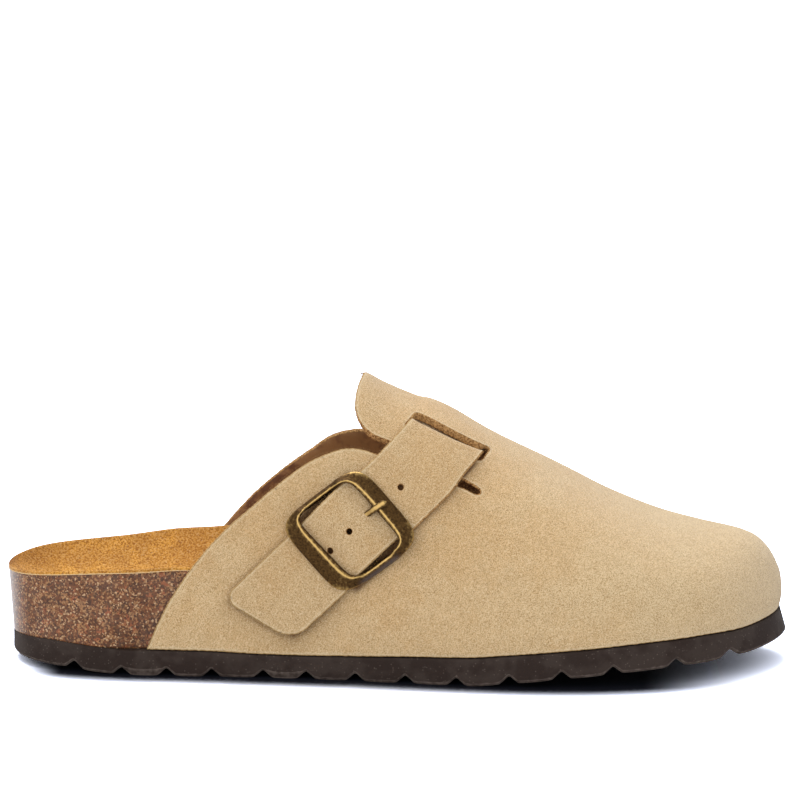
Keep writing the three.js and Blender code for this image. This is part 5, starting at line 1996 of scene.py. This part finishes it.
def add_sun(name, strength, spread, azimuth, elevation):
    """A large soft light, far away, with its angles in degrees: azimuth 0 is behind the camera and 90 on
    its right."""
    light = bpy.data.lights.new(name, "SUN")
    light.energy = strength
    light.angle = math.radians(spread)
    lamp = bpy.data.objects.new(name, light)
    bpy.context.scene.collection.objects.link(lamp)
    a, e = math.radians(azimuth), math.radians(elevation)
    towards = Vector((math.sin(a) * math.cos(e), -math.cos(a) * math.cos(e), math.sin(e)))
    lamp.rotation_euler = towards.to_track_quat("Z", "Y").to_euler()
    return lamp


def add_sky(strength, colour):
    world = bpy.data.worlds.new("studio")
    world.use_nodes = True
    background = world.node_tree.nodes["Background"]
    background.inputs["Color"].default_value = (*colour, 1)
    background.inputs["Strength"].default_value = strength
    bpy.context.scene.world = world


def add_floor(colours, glare):
    """A pale floor that is lit past white, and throws back less light than it shows. Beside the sole a
    contact shadow is painted on it from ambient occlusion, faded out past the heel and the toe.
    """
    material, tree, shader, place = new_material("floor", {"Roughness": 0.9, "Specular IOR Level": 0.1})
    seen = add(tree, "LightPath").outputs["Is Camera Ray"]
    near = add(tree, "AmbientOcclusion", {"Distance": 0.026}).outputs["AO"]
    along_shoe = add(tree, "SeparateXYZ", {0: place}).outputs["X"]
    past_heel, before_toe = stretch(tree, along_shoe, -0.05, -0.03), stretch(tree, along_shoe, 0.235, 0.178)
    resting = calculate(tree, "MULTIPLY", past_heel, before_toe)
    bright = tuple(glare * part for part in colours.floor_seen)
    # Painted contact shadow beside the sole.
    shade = calculate(tree, "MULTIPLY", stretch(tree, near, 0.92, 0.62), resting)
    shown = blend(tree, shade, bright, colours.floor_shade)
    tree.links.new(blend(tree, seen, colours.floor, shown), shader.inputs["Base Color"])
    reach = 14.0
    mesh = bpy.data.meshes.new("floor")
    corners = [(-reach, -reach, 0), (reach, -reach, 0), (reach, reach, 0), (-reach, reach, 0)]
    mesh.from_pydata(corners, [], [(0, 1, 2, 3)])
    mesh.materials.append(material)
    floor = bpy.data.objects.new("floor", mesh)
    bpy.context.scene.collection.objects.link(floor)
    return floor


class MULE_OT_build_stage(Operator):
    """Camera, soft light and floor"""

    bl_idname = "mule.build_stage"
    bl_label = "Stage"

    def execute(self, context):
        studio = context.scene.mule_studio
        colours = bare_colours(context.scene.mule_colours)
        add_camera(studio)
        add_sky(studio.sky, colours.sky)
        key = add_sun("key", studio.key, spread=40, azimuth=-155, elevation=66)
        key.data.color = colours.key
        fill_light = add_sun("fill", studio.fill, spread=80, azimuth=-20, elevation=30)
        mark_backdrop(add_floor(colours, studio.floor_glare), key, fill_light)
        context.scene.view_settings.view_transform = "Standard"
        return {"FINISHED"}


class MULE_PT_build(Panel):
    """Builds the mule piece by piece"""

    bl_label = "Suede Mule"
    bl_idname = "MULE_PT_build"
    bl_space_type = "VIEW_3D"
    bl_region_type = "UI"
    bl_category = "Mule"

    def draw(self, context):
        for operator in OPERATORS:
            self.layout.operator(operator.bl_idname)
        for settings in SETTINGS:
            group = getattr(context.scene, settings)
            for item in group.bl_rna.properties:
                if item.type in ("FLOAT", "INT"):
                    self.layout.prop(group, item.identifier)


OPERATORS = (
    MULE_OT_build_stage,
    MULE_OT_build_outsole,
    MULE_OT_build_footbed,
    MULE_OT_build_liner,
    MULE_OT_build_upper,
    MULE_OT_build_strap,
    MULE_OT_build_buckle,
)
SETTINGS = {
    "mule_last": MuleLastSettings,
    "mule_strap": MuleStrapSettings,
    "mule_buckle": MuleBuckleSettings,
    "mule_colours": MuleColours,
    "mule_studio": MuleStudioSettings,
}


def register():
    for cls in (*SETTINGS.values(), *OPERATORS, MULE_PT_build):
        bpy.utils.register_class(cls)
    for name, cls in SETTINGS.items():
        setattr(bpy.types.Scene, name, PointerProperty(type=cls))


def unregister():
    for name in SETTINGS:
        delattr(bpy.types.Scene, name)
    for cls in reversed((*SETTINGS.values(), *OPERATORS, MULE_PT_build)):
        bpy.utils.unregister_class(cls)


def main():
    register()
    bpy.ops.mule.build_stage()
    bpy.ops.mule.build_outsole()
    bpy.ops.mule.build_footbed()
    bpy.ops.mule.build_liner()
    bpy.ops.mule.build_upper()
    bpy.ops.mule.build_strap()
    bpy.ops.mule.build_buckle()
    boxes = {"cad": CAD_BOX, "visual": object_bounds()}
    {name: [list(corner) for corner in box] for name, box in boxes.items()}


if __name__ == "__main__":
    main()
